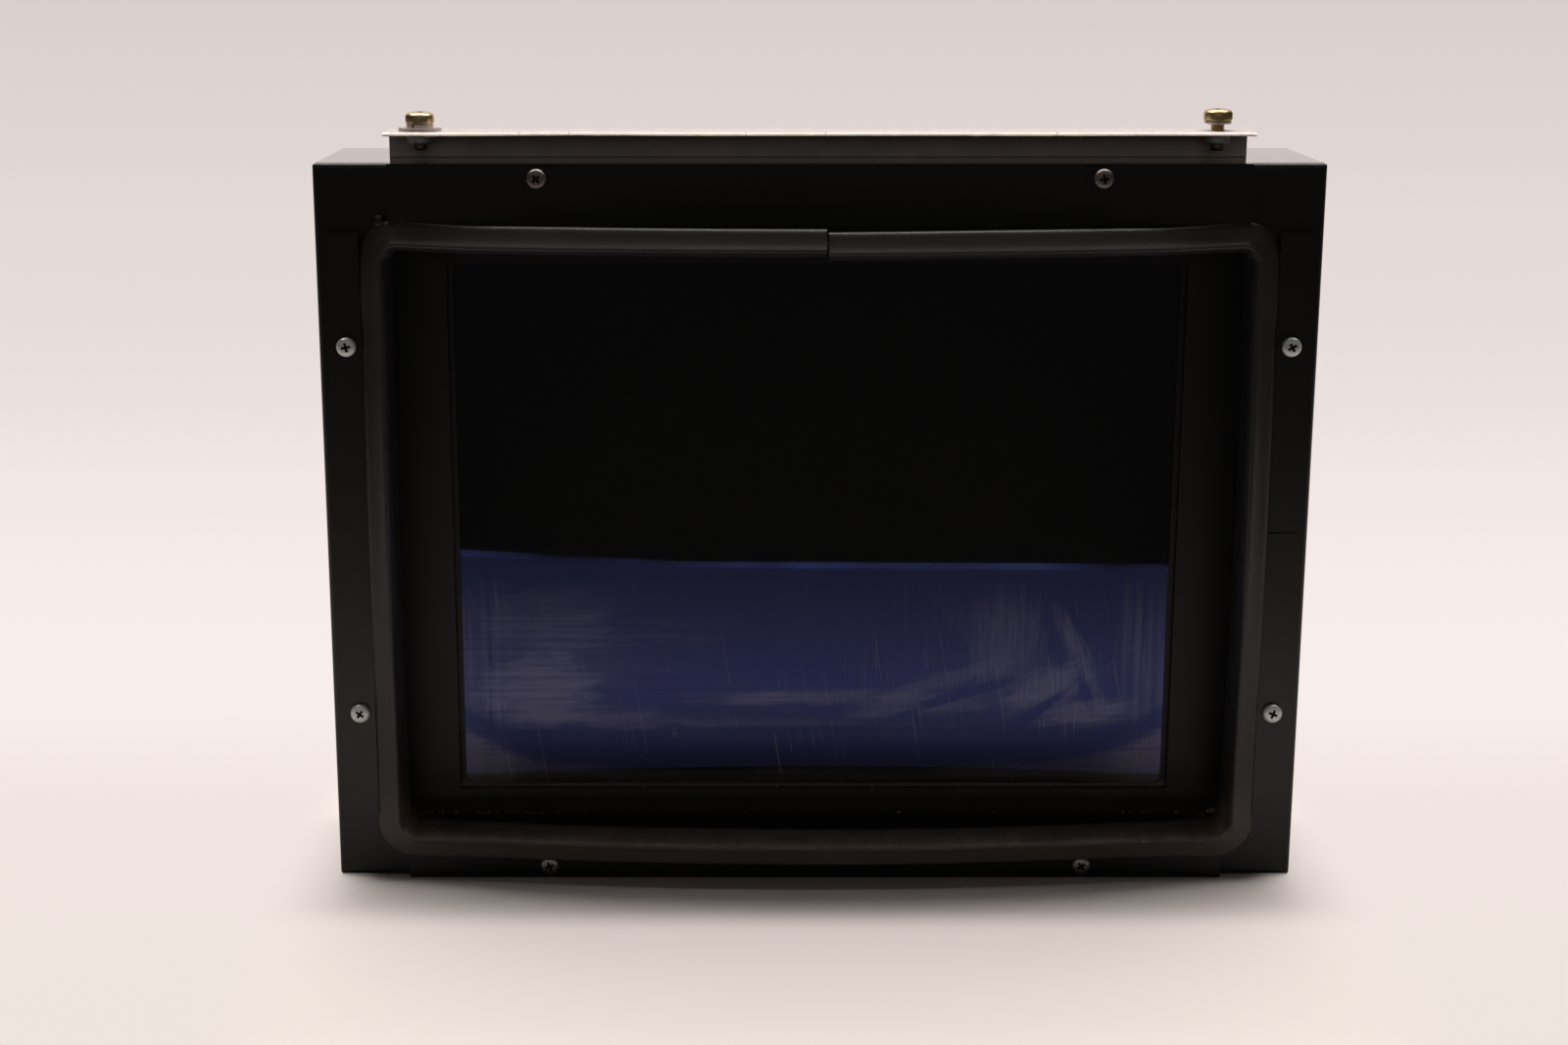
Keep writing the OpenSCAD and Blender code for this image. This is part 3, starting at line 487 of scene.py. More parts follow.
def make_screen():
    t, where = material("screen_glass")
    haze = smear_mask(t, where)
    low = t.fall(t.axis(where, 2), 0.105, 0.130)
    marks = use(t, "Scratches", Vector=where, Density=0.20, Width=0.035)["Mask"]
    specks = use(t, "Specks", Vector=where, Scale=60.0, Radius=0.03, Share=0.05)["Mask"]
    hazed = t.mix(t.times(haze, 0.24), colours().screen, WIPED_HAZE)
    fine = t.drawn(t.placed(where, turn=0.16), (1100.0, 1.0, 9.0), 0.0)
    worn = t.step(t.drawn(where, (45.0, 1.0, 45.0), 2.0), 0.46, 0.58)
    hairs = t.times(t.step(fine, 0.71, 0.80), worn)
    marks = t.most(t.times(marks, 0.30), hairs)
    marked = t.mix(t.times(marks, low, 0.13), hazed, SCRATCHED_GLASS)
    t.surface(Base_Color=t.mix(t.times(specks, 0.3), marked, GLASS_SPECK), Roughness=0.025, IOR=1.82,
              Specular_Tint=BLUE_SHEEN, Coat_Weight=t.times(haze, 0.70), Coat_Roughness=0.16,
              Coat_Tint=WARM_FILM)
    t.bump(t.noise(where, 9.0, 1.0), 0.012, 0.001)


def make_plain(name, base, roughness, grain_scale=900.0, depth=0.08):
    t, where = material(name)
    cloud = use(t, "Mottle", Vector=where, Patch_Scale=200.0, Cloud_Scale=120.0, Detail=3.0,
                Softness=0.5)["Cloud"]
    t.surface(Base_Color=t.mix(t.times(cloud, 0.25), base, toned(base, 0.7)),
              Roughness=t.plus(roughness, t.times(cloud, 0.1)))
    grain_bump(t, where, grain_scale, 0.5, depth)


def make_board():
    t, where = material("circuit_board")
    tracks = t.drawn(where, (500.0, 500.0, 60.0), 0.0)
    lanes = t.drawn(where, (60.0, 500.0, 500.0), 0.0)
    lines = t.most(t.math("GREATER_THAN", tracks, 0.60), t.math("GREATER_THAN", lanes, 0.62))
    t.surface(Base_Color=t.mix(lines, BOARD_GREEN, TRACK_GREEN), Roughness=0.35)
    t.bump(lines, 0.2, 0.0001)


class UNIT_OT_finishes(bpy.types.Operator):
    """Makes the materials and gives every CAD node its finish"""
    bl_idname = "unit.finishes"
    bl_label = "Finishes"

    def execute(self, context):
        for make_group in (grain_group, dust_group, speck_group, scratch_group, mottle_group,
                           sill_dust_group):
            make_group()
        c = colours()
        make_paint("black_paint", 0.026, 0.24, 0.0, 0.34, polished=True)
        make_paint("hood_inside", 0.008, 0.20, 0.04, 0.42, corner_dust=0.8)
        make_paint("mask_paint", 0.008, 0.20, 0.60, 0.42, sill_dust=0.16)
        make_paint("black_zinc", 0.05, 0.2, 0.1, 0.45)
        make_rubber()
        make_metal("galvanised", c.zinc, 0.34, 140.0, 500.0, metallic=0.3)
        # Bare cut edge of the sheet, also lightened and warmed to paint the highlight on the flange's front
        # lip
        make_metal("cut_edge_and_highlight", (0.50, 0.425, 0.36), 0.5, 300.0, metallic=0.1)
        make_metal("zinc_screw", toned(c.zinc, 0.85), 0.30)
        make_metal("dull_zinc", toned(c.zinc, 0.34), 0.36)
        # Pale, less metallic zinc; on the clinch nuts under the flange it also paints light
        make_metal("bright_zinc", (0.82, 0.84, 0.82), 0.30, metallic=0.55)
        # Near-black finish of the screws' cross recesses: painted shade
        make_metal("recess", (0.06, 0.052, 0.045), 0.5)
        make_metal("yellow_zinc", c.yellow, 0.25)
        make_paint("bezel_steel", 0.008, 0.20, 0.30, 0.42, sill_dust=0.85)
        make_screen()
        make_plain("clear_plastic", (0.75, 0.80, 0.82), 0.12)
        make_plain("white_plastic", (0.80, 0.80, 0.77), 0.5)
        make_board()
        make_plain("black_plastic", (0.02, 0.02, 0.021), 0.4)
        make_plain("green_plastic", TRACK_GREEN, 0.4)
        make_plain("copper_coil", (0.45, 0.25, 0.08), 0.35, 1800.0, 0.4)
        make_plain("lead_wire", (0.45, 0.05, 0.05), 0.45)
        make_plain("crumb", (0.46, 0.41, 0.36), 0.8, 1500.0, 0.5)
        # The clinch nuts take the pale zinc: their plating, lightened to paint the reflections that light
        # them in the shade under the flange
        inside = {"mask_panel": "mask_paint", "contour_hood": "hood_inside", "clinch_nuts": "bright_zinc"}
        for part in frame["record"]["subparts"]:
            node = frame["nodes"][part["node"]]
            name = inside.get(part["node"], part["material_slot"])
            node.data.materials.clear()
            node.data.materials.append(MATERIALS[name])
        return {"FINISHED"}


def linked(name, data):
    made = bpy.data.objects.new(name, data)
    bpy.context.scene.collection.objects.link(made)
    return made


def skin(rings, around, first=0, inward=False, capped=True):
    """Faces between rings of points that follow each other, and over the two ends."""
    faces = []
    for i in range(first, first + (rings - 1) * around, around):
        for j in range(around):
            k = (j + 1) % around
            far = (i + around + k, i + around + j)
            faces.append((i + j, far[1], far[0], i + k) if inward else (i + j, i + k) + far)
    if capped:
        near = tuple(range(first, first + around))
        far = tuple(v + (rings - 1) * around for v in near)
        faces += [near, far[::-1]] if inward else [near[::-1], far]
    return faces


def sharpen(made, degrees):
    made.data.set_sharp_from_angle(angle=math.radians(degrees))


def piece(name, points, faces, finish, slot, replaced=()):
    """A smooth mesh piece made from points in the CAD source's millimetres, riding on the root body."""
    mesh = bpy.data.meshes.new(name)
    mesh.from_pydata([(x * MM, (y + FRONT_Y) * MM, z * MM) for x, y, z in points], [], faces)
    mesh.validate()
    mesh.update()
    made = linked(name, mesh)
    mesh.materials.append(MATERIALS[finish])
    mesh.shade_smooth()
    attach(made, "root")
    if replaced:
        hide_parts(*replaced)
    return made


def bulge(x, z):
    """Where the hood's front edge lies at a point of its outline."""
    return BULGE_APEX + BULGE_R - math.sqrt(BULGE_R ** 2 - x ** 2 - (z - HOOD_MID_Z) ** 2)


# Section of the seal: outward from the hood's inner face, and forward of its edge
SEAL_SECTION = [
    (-0.1, -14.0), (-3.0, -14.0), (-3.6, -13.6), (-3.95, -12.6), (-4.1, -10.0), (-4.15, -7.0), (-4.1, -4.0),
    (-4.0, -2.4), (-3.75, -0.8), (-3.4, 0.6), (-2.95, 1.8), (-2.45, 2.8), (-1.95, 3.6), (-1.5, 4.1),
    (-1.15, 4.32), (-0.85, 4.36), (-0.5, 4.28), (0.0, 4.05), (0.6, 3.72), (1.3, 3.4), (2.1, 3.12),
    (3.0, 2.86), (4.0, 2.62), (4.9, 2.46), (5.6, 2.34), (6.2, 2.18), (6.7, 1.98), (7.05, 1.72), (7.25, 1.4),
    (7.35, 1.0), (7.4, 0.5), (7.35, -0.5), (7.15, -1.1), (6.8, -1.5), (1.6, -1.5), (1.6, 0.05),
    (-0.1, 0.05)]
CORNER_STEPS = 18


def arc(cx, cz, r, start):
    """Stations round a corner: place, outward direction, and how far into the corner."""
    made = []
    for i in range(CORNER_STEPS + 1):
        t = i / CORNER_STEPS
        a = math.radians(start - 90.0 * t)
        nx, nz = math.cos(a), math.sin(a)
        made.append((cx + r * nx, cz + r * nz, nx, nz, math.sin(math.pi * t)))
    return made


def run(a, b, step):
    """Stations between two others, in a straight line."""
    count = max(2, round(math.dist(a[:2], b[:2]) / step))
    return [(a[0] + (b[0] - a[0]) * i / count, a[1] + (b[1] - a[1]) * i / count, a[2], a[3], 0.0)
            for i in range(1, count)]


def seal_stations(joint_x, step):
    """Once round the outline, clockwise from the joint on the top run."""
    top, low, w = HOOD_HIGH_Z, HOOD_LOW_Z, HOOD_HALF_W
    corners = ((w - HOOD_TOP_R, top - HOOD_TOP_R, HOOD_TOP_R, 90.0),
               (w - HOOD_LOW_R, low + HOOD_LOW_R, HOOD_LOW_R, 0.0),
               (-w + HOOD_LOW_R, low + HOOD_LOW_R, HOOD_LOW_R, -90.0),
               (-w + HOOD_TOP_R, top - HOOD_TOP_R, HOOD_TOP_R, 180.0))
    made = [(joint_x + SEAL_GAP / 2, top, 0.0, 1.0, 0.0)]
    for corner in corners:
        bend = arc(*corner)
        made += run(made[-1], bend[0], step) + bend
    last = (joint_x - SEAL_GAP / 2, top, 0.0, 1.0, 0.0)
    return made + run(made[-1], last, step) + [last]


# How the seal departs from its section, in millimetres but for the last
SEAL_GAP = 0.8
LIP_CLEAR = 0.06
CORNER_REACH = 45.0
SEAL_SUNK = 0.42
LIP_SWELL = 2.1
CREST_SWELL = 1.6
CREST_PINCH = 0.5
SECTION_DEPTH = 14.0
CORNER_LIFT = 1.1
MIDDLE_SAG = 0.45
SAG_REACH = 120.0
STATIONS_TO_FADE = 12.0


def corner_share(x, z):
    """1 in the hood's corners, falling to 0 at the corners' reach."""
    away = math.dist((abs(x), abs(z - HOOD_MID_Z)), (HOOD_HALF_W, HOOD_HIGH_Z - HOOD_MID_Z))
    near = max(0.0, 1.0 - away / CORNER_REACH)
    return near * near * (3.0 - 2.0 * near)


def seal_point(station, o, f, index, count, proud):
    """One point of the seal, with its small bulges, pinches and the step at the joint."""
    x0, z0, nx, nz, corner = station
    wander = noise.noise(Vector((x0 * 0.012, z0 * 0.012, o * 0.05)))
    fine = noise.noise(Vector((x0 * 0.06, z0 * 0.06, 5.0)))
    from_start = index / STATIONS_TO_FADE
    to_end = (count - 1 - index) / STATIONS_TO_FADE
    near_corner = corner_share(x0, z0)
    in_slot = f <= 0.05 and -0.2 < o < 1.7
    lift = 0.0
    if o < 1.0:
        wrinkle = noise.noise(Vector((x0 * 0.22, z0 * 0.22, f * 0.12)))
        o -= corner * (0.9 + 0.8 * wrinkle)
        f += (CREST_SWELL * near_corner - CREST_PINCH * corner) * max(0.0, 1.0 + f / SECTION_DEPTH)
    else:
        o += 0.2 * wander + 0.9 * near_corner * max(0.0, o - 1.5) / 6.0
        f += LIP_SWELL * near_corner if not in_slot else 0.0
    if not in_slot:
        f += 0.18 * wander + 0.07 * fine - SEAL_SUNK
        if nz > 0.5:
            lift = CORNER_LIFT * near_corner - MIDDLE_SAG * max(0.0, 1.0 - abs(x0) / SAG_REACH)
        f += proud * (0.15 * math.exp(-to_end * to_end) - math.exp(-from_start * 0.6))
        lift += proud * (0.75 * math.exp(-to_end * 0.25) - 0.8 * math.exp(-from_start * 0.25))
    return x0 + o * nx, z0 + o * nz + lift, f


class UNIT_OT_seal(bpy.types.Operator):
    """Sweeps the rubber edge seal round the hood and leaves its butt joint open on the top run"""
    bl_idname = "unit.seal"
    bl_label = "Edge seal"

    def execute(self, context):
        s = sizes()
        stations = seal_stations(s.joint_x / MM, s.seal_step / MM)
        count = len(stations)
        points = []
        for i, station in enumerate(stations):
            for o0, f0 in SEAL_SECTION:
                x, z, f = seal_point(station, o0, f0, i, count, s.joint_step / MM)
                y = bulge(x, z) - f
                if o0 > SHEET_T:
                    y = min(y, -LIP_CLEAR - (f0 + 1.5) * 0.05)
                points.append((x, y, z))
        made = piece("edge_seal_rubber", points, skin(count, len(SEAL_SECTION)), "seal_rubber",
                     "seal_rubber", ["edge_seal"])
        sharpen(made, 50)
        return {"FINISHED"}


def lathe(profile, turns, wobble):
    """Points of a profile of (radius, height) turned about z; wobble adds to the radius."""
    points = []
    for r, z in profile:
        for k in range(turns):
            a = 2 * math.pi * k / turns
            wide = r + wobble(a, z)
            points.append((wide * math.cos(a), wide * math.sin(a), z))
    return points


def cut_cross(made, centre, width, top, depth):
    """Cuts a cross recess with sloping walls into the top of a head; its walls take the near-black recess
    finish, a painted shade.
    """
    arm = width / 7.0
    end = width / 2
    outline = [(arm, arm), (arm, end), (-arm, end), (-arm, arm), (-end, arm), (-end, -arm),
               (-arm, -arm), (-arm, -end), (arm, -end), (arm, -arm), (end, -arm), (end, arm)]
    points = [(x, y, top + 0.5) for x, y in outline]
    points += [(x * 0.55, y * 0.55, top - depth) for x, y in outline]
    n = len(outline)
    faces = [tuple(range(n)), tuple(reversed(range(n, 2 * n)))]
    faces += [(i, i + n, (i + 1) % n + n, (i + 1) % n) for i in range(n)]
    mesh = bpy.data.meshes.new("cutter")
    # Painted shade: the cut walls keep the cutter's near-black finish
    mesh.materials.append(MATERIALS["recess"])
    moved = [centre @ Vector(v) for v in points]
    mesh.from_pydata([(v.x * MM, (v.y + FRONT_Y) * MM, v.z * MM) for v in moved], [], faces)
    cutter = linked("cutter", mesh)
    bpy.context.view_layer.update()
    step = made.modifiers.new("recess", "BOOLEAN")
    step.object = cutter
    step.operation = "DIFFERENCE"
    step.solver = "EXACT"
    step.material_mode = "TRANSFER"
    graph = bpy.context.evaluated_depsgraph_get()
    cut = bpy.data.meshes.new_from_object(made.evaluated_get(graph))
    made.modifiers.clear()
    made.data = cut
    bpy.data.objects.remove(cutter)


# The two sizes of pan head screw; a head is its half section, radius then height above the seat
M6 = {"radius": 3.0, "recess": 6.0,
      "head": [(5.55, 0.0), (5.85, 0.25), (5.9, 0.6), (5.9, 2.5), (5.8, 3.1), (5.45, 3.7), (4.8, 4.15),
               (3.8, 4.42), (2.4, 4.56), (0.6, 4.6)]}
M4 = {"radius": 2.0, "recess": 4.3, "shank": 8.0, "pitch": 0.7,
      "head": [(3.72, 0.0), (3.95, 0.18), (4.0, 0.45), (4.0, 1.3), (3.93, 1.75), (3.7, 2.15), (3.25, 2.48),
               (2.6, 2.7), (1.7, 2.84), (0.5, 2.9)]}
SCREW_SIDES = 48
THREAD_END = 0.8


def threaded_screw(name, place, finish, slot, replaced, radius, recess, shank, pitch, head):
    """A pan head screw with a helical thread and a cross recess; place takes its axis from z."""
    depth = pitch * 0.6

    def thread(a, z):
        phase = (z / pitch - a / (2 * math.pi)) % 1.0
        return -depth * abs(2 * phase - 1.0) if -shank + THREAD_END < z < -0.1 else 0.0

    rows = int(shank * 8 / pitch)
    profile = [(radius * 0.4, -shank), (radius * 0.74, -shank + 0.05)]
    profile += [(radius, -shank + THREAD_END + (shank - 0.85) * i / rows) for i in range(rows + 1)]
    profile += head
    points = [tuple(place @ Vector(v)) for v in lathe(profile, SCREW_SIDES, thread)]
    made = piece(name, points, skin(len(profile), SCREW_SIDES), finish, slot, replaced)
    cut_cross(made, place, recess, head[-1][1], recess * 0.43)
    made.data.shade_smooth()
    sharpen(made, 32)
    return made


def spin(axis, degrees):
    return Matrix.Rotation(math.radians(degrees), 4, axis)


class UNIT_OT_bracket_screws(bpy.types.Operator):
    """Makes the two M6 screws of the bracket with real threads and cross recesses"""
    bl_idname = "unit.bracket_screws"
    bl_label = "Bracket screws"

    def execute(self, context):
        pitch = sizes().thread_pitch / MM
        # Side, x, seat above the flange, length of the shank and turn
        left = ("left", -BOLT_X, 2.9, 10.8, 20.0)
        right = ("right", BOLT_X, 4.14, 12.34, 65.0)
        for side, x, seat, shank, turn in (left, right):
            place = Matrix.Translation((x, BOLT_Y, FLANGE_Z + seat)) @ spin("Z", turn)
            threaded_screw(f"bracket_screw_{side}_threaded", place, "yellow_zinc", "yellow_zinc",
                           [f"bracket_screw_{side}"], shank=shank, pitch=pitch, **M6)
        return {"FINISHED"}


# The strips' screws: x, z and how far the cross recess is turned
STRIP_SCREWS = [(-113.6, 298.0, 40.0), (113.6, 298.0, 10.0), (-113.6, 6.0, 22.0), (113.6, 6.0, 35.0),
                (-192.2, 74.0, 55.0), (-192.2, 230.0, 12.0), (192.2, 74.0, 68.0), (192.2, 230.0, 30.0)]
# Their finish, pair by pair: top, bottom, left and right
STRIP_SCREW_FINISH = ["dull_zinc", "zinc_screw", "bright_zinc", "bright_zinc"]


class UNIT_OT_strip_screws(bpy.types.Operator):
    """Makes the eight M4 screws that hold the strips"""
    bl_idname = "unit.strip_screws"
    bl_label = "Strip screws"

    def execute(self, context):
        for i, (x, z, turn) in enumerate(STRIP_SCREWS):
            place = Matrix.Translation((x, -STRIP_T, z)) @ spin("X", 90.0) @ spin("Z", turn)
            threaded_screw(f"strip_screw_{i + 1}", place, STRIP_SCREW_FINISH[i // 2],
                                       "zinc_screw", (), **M4)
        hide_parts("strip_screws")
        return {"FINISHED"}


def waver(x, scale, seed):
    return noise.noise(Vector((x * scale, seed, 0.0)))


def quarter(cy, cz, radius, start, end):
    """Seven points round a quarter circle, from one angle in degrees to another."""
    angles = [math.radians(start + (end - start) * i / 6) for i in range(7)]
    return [(cy + radius * math.cos(a), cz + radius * math.sin(a)) for a in angles]


BRACKET_HALF_W = 176.3
# Nicks in the flange's front edge, from the middle
NICKS = (-121.3, -101.2, -29.8, 2.3, 96.0)


def bracket_section():
    """The Z section with rounded cut edges, as (y, z) from the flange's front lip round and back."""
    top, low = FLANGE_Z, BOX_TOP_Z
    lip = [(7.5, 1.5), (7.1, 1.42), (7.0, 1.25), (7.18, 0.95), (7.42, 0.65), (7.7, 0.35), (8.0, 0.1),
           (8.35, 0.0), (12.0, 0.0), (18.0, 0.0)]
    section = [(y, top - under) for y, under in lip]
    section += quarter(26.0, top - 2.0, 2.0, 90.0, 0.0) + quarter(28.5, low + 2.0, 0.5, 180.0, 270.0)
    section += [(44.7, low + 1.5), (45.0, low + 1.2), (45.0, low + 0.3), (44.7, low)]
    return section + quarter(26.8, low + 0.3, 0.3, 270.0, 180.0) + quarter(26.0, top - 2.0, 0.5, 0.0, 90.0)


class UNIT_OT_bracket(bpy.types.Operator):
    """Makes the Z-section bracket with rounded cut edges, a slightly wavy flange and a nicked front edge"""
    bl_idname = "unit.bracket"
    bl_label = "Mounting bracket"

    def execute(self, context):
        section, half = bracket_section(), BRACKET_HALF_W
        places = {round(i - half, 2) for i in range(1, 352)}
        places |= {n + d for n in NICKS for d in (-0.7, -0.35, 0.0, 0.35, 0.7)}
        places = [-half, -half + 0.3] + sorted(places) + [half - 0.3, half]
        points = []
        for i, x in enumerate(places):
            ending = 0.25 if i in (0, len(places) - 1) else 0.0
            for y, z in section:
                # The flange waves more and more towards its free front edge
                free = max(0.0, (25.5 - y) / 18.5)
                z += free * (0.28 * waver(x, 0.016, 3.0) + 0.06 * waver(x, 0.15, 9.0))
                if y < 8.3:
                    y += 0.12 * waver(x, 0.3, 1.0) + 0.05 * waver(x, 1.6, 4.0)
                    y += sum(0.45 * math.exp(-((x - n) / 0.35) ** 2) for n in NICKS)
                middle = FLANGE_Z - 0.75 if y < 25.0 and z > FLANGE_Z - 2.0 else z
                points.append((x, y, z + (middle - z) * ending))
        made = piece("mounting_bracket_folded", points, skin(len(places), len(section)), "galvanised",
                     "galvanised", ["mounting_bracket"])
        made.data.materials.append(MATERIALS["cut_edge_and_highlight"])
        # The front lip's faces take the cut edge finish, which also paints their highlight
        for face in made.data.polygons:
            if face.center.y < (8.2 + FRONT_Y) * MM and face.normal.z > -0.5:
                face.material_index = 1
        sharpen(made, 40)
        return {"FINISHED"}


SPRING_RINGS = 61


def spring_ring(x, z, thick, lift, turn):
    """Rings of points of a split washer that climbs by its lift over one turn."""
    section = [(3.15, 0.0), (5.45, 0.0), (5.5, 0.1), (5.5, thick - 0.1), (5.4, thick), (3.15, thick)]
    points = []
    for i in range(SPRING_RINGS):
        t = i / (SPRING_RINGS - 1)
        a = math.radians(turn + 352.0 * t)
        for r, h in section:
            points.append((x + r * math.cos(a), BOLT_Y + r * math.sin(a), z + h + lift * t))
    return points


class UNIT_OT_spring_washers(bpy.types.Operator):
    """Makes the two split spring washers, the right one still sprung open"""
    bl_idname = "unit.spring_washers"
    bl_label = "Spring washers"

    def execute(self, context):
        left = spring_ring(-BOLT_X, FLANGE_Z + 1.3, 1.45, 0.1, 250.0)
        right = spring_ring(BOLT_X, FLANGE_Z + 2.65, 1.2, 0.3, 215.0)
        sides = len(left) // SPRING_RINGS
        faces = skin(SPRING_RINGS, sides, inward=True)
        faces += skin(SPRING_RINGS, sides, len(left), inward=True)
        made = piece("spring_washers_split", left + right, faces, "zinc_screw", "zinc_screw",
                     ["spring_washers"])
        sharpen(made, 40)
        return {"FINISHED"}


class Crumbs:
    """Points and faces of many small irregular lumps, and the random draws that shape them."""

    def __init__(self, size):
        self.points = []
        self.faces = []
        self.source = random.Random(11)
        self.size = size

    def lump(self, centre, low, high=None):
        """Adds one lump on a centre; its width is low, or a share of the crumb size from low to high."""
        draw = self.source.uniform
        size = low if high is None else self.size * draw(low, high)
        rings = 6
        around = 8
        first = len(self.points)
        wide = (draw(0.8, 1.6), draw(0.7, 1.1), draw(0.5, 0.9))
        for i in range(rings):
            b = math.pi * i / (rings - 1)
            for k in range(around):
                a = 2 * math.pi * k / around
                r = size / 2 * draw(0.75, 1.1)
                self.points.append((centre[0] + r * wide[0] * math.sin(b) * math.cos(a),
                                    centre[1] + r * wide[1] * math.sin(b) * math.sin(a),
                                    centre[2] + r * wide[2] * math.cos(b)))
        self.faces += skin(rings, around, first, inward=True, capped=False)


# Where crumbs lie along the hood's lower inside edge, and along the mask's lip
LEDGE_CRUMBS = (-163.0, -157.0, -152.0, -148.5, -143.0, -138.0, -131.0, -121.0, -112.0, 37.5, 80.0, 80.8,
                132.0, 136.0, 138.5, 143.0, 148.0, 152.0, 158.0)
LIP_CRUMBS = (-75.0, -16.0, 26.0, 64.0, 92.0, 148.0, 150.5)
# The largest crumb, in the lower right corner, in three parts: shift and width
CORNER_CRUMB = ((0.0, 0.0, 0.0, 3.4), (-1.6, 0.6, -0.6, 2.4), (0.8, -1.8, 0.5, 2.2))
# Crumbs on the seal: x, z, how far in front of the hood's edge, and width
SEAL_CRUMBS = ((139.5, 18.5, 3.9, 1.1), (141.2, 18.6, 3.9, 0.8), (164.2, 14.4, 4.1, 0.8))


class UNIT_OT_crumbs(bpy.types.Operator):
    """Scatters crumbs of dirt along the hood's lower inside edge and on the mask's lip"""
    bl_idname = "unit.crumbs"
    bl_label = "Crumbs"

    def execute(self, context):
        crumbs = Crumbs(sizes().crumb_size / MM)
        draw = crumbs.source.uniform
        for x in LEDGE_CRUMBS:
            crumbs.lump((x + draw(-2.0, 2.0), MASK_Y - 0.5, HOOD_LOW_Z + 0.2), 0.25, 1.3)
        for i in range(70):
            x = draw(-168.0, -95.0) if i % 3 else draw(-150.0, 167.0)
            crumbs.lump((x, MASK_Y - draw(0.3, 2.0), HOOD_LOW_Z + 0.15), 0.25, 0.55)
        for x in LIP_CRUMBS:
            crumbs.lump((x, MASK_Y + 2.0, WINDOW_LOW_Z), 0.5, 1.0)
        for dx, dy, dz, wide in CORNER_CRUMB:
            crumbs.lump((175.4 + dx, 27.0 + dy, 19.4 + dz), wide)
        for side in (-1.0, 1.0):
            for _ in range(34):
                inward = draw(0.0, 1.0) ** 1.5 * 9.0
                crumbs.lump((side * (176.2 - inward), draw(22.0, 29.0),
                             18.6 + draw(0.0, 1.0) * max(0.4, 5.0 - inward)), 0.25, 0.7)
        for x, z, above, wide in SEAL_CRUMBS:
            crumbs.lump((x, bulge(x, z) - above, z), wide)
        piece("dirt_crumbs", crumbs.points, crumbs.faces, "crumb", "white_plastic")
        return {"FINISHED"}


def ramp(t, value, stops):
    """A smooth run of colours over a value; stops are (value, colour)."""
    made = t.add("ShaderNodeValToRGB", {0: value})
    made.color_ramp.interpolation = "EASE"
    points = made.color_ramp.elements
    while len(points) < len(stops):
        points.new(0.5)
    for point, (at, shade) in zip(points, stops):
        point.position = at
        point.color = (*shade, 1.0)
    return made.outputs[0]


# What the camera sees of the table and backdrop: metres along them from the unit's middle, then a colour
SHOWN_FROM = -0.25
SHOWN_TO = 1.95
SHOWN = [(-0.20, (0.855, 0.776, 0.73)), (0.02, (0.871, 0.783, 0.745)), (0.234, (0.939, 0.855, 0.838)),
         (0.44, (0.922, 0.838, 0.822)), (0.71, (0.880, 0.799, 0.783)), (1.10, (0.823, 0.745, 0.730)),
         (1.55, (0.776, 0.701, 0.686)), (1.75, (0.730, 0.658, 0.644)), (1.90, (0.694, 0.623, 0.610))]


def stage_material():
    """The pale matt table and backdrop, which the camera sees partly in a set run of tones."""
    t, where = material("stage_paper", "ShaderNodeNewGeometry", "Position")
    x, y, z = (t.axis(where, i) for i in range(3))
    table = colours().table
    side = t.math("ABSOLUTE", x)
    ray = t.add("ShaderNodeLightPath").outputs
    camera_ray = ray["Is Camera Ray"]
    mirrored = t.most(ray["Is Glossy Ray"], ray["Is Transmission Ray"])
    # The table is darker for mirrored rays where the unit and the camera shade it
    close = t.times(mirrored, t.step(y, -0.21, -0.12))
    before_unit = t.fall(side, 0.135, 0.190)
    closest = t.times(mirrored, t.step(y, -0.155, -0.112), before_unit)
    far_front = t.mix(t.step(y, -0.47, -0.20), toned(table, 0.55), table)
    bounced = t.mix(closest, t.mix(close, far_front, toned(table, 0.62)), toned(table, 0.30))
    t.surface(Base_Color=t.mix(camera_ray, bounced, toned(table, 1.3)), Roughness=0.9,
              Specular_IOR_Level=0.0)
    reach = SHOWN_TO - SHOWN_FROM
    part = t.math("DIVIDE", t.minus(t.plus(y, z), SHOWN_FROM), reach)
    stops = [((at - SHOWN_FROM) / reach, shade) for at, shade in SHOWN]
    glow = t.add("ShaderNodeEmission", {"Color": ramp(t, part, stops)}).outputs[0]
    behind = t.step(y, 0.10, 0.35)
    beside = t.most(t.step(side, 0.185, 0.235), behind)
    open_floor = t.times(t.fall(y, -0.22, -0.10), 0.12)
    share = t.most(beside, open_floor)
    seen = t.most(t.times(camera_ray, share), t.times(mirrored, behind))
    lit = t.tree.nodes["Principled BSDF"].outputs[0]
    mixed = t.add("ShaderNodeMixShader", {0: seen, 1: lit, 2: glow}).outputs[0]
    t.feed(t.tree.nodes["Material Output"].inputs["Surface"], mixed)


def staged(name, points, faces, finish):
    mesh = bpy.data.meshes.new(name)
    mesh.from_pydata(points, [], faces)
    mesh.shade_smooth()
    made = linked(name, mesh)
    mesh.materials.append(MATERIALS[finish])


# The photographed table ends half a metre in front of the unit, where the room behind the camera is dark
TABLE_EDGE = ((-1.6, -0.82), (-0.217, -0.533), (-0.068, -0.502), (0.245, -0.495), (1.6, -0.465))
SWEEP_START = 1.2
SWEEP_R = 0.35


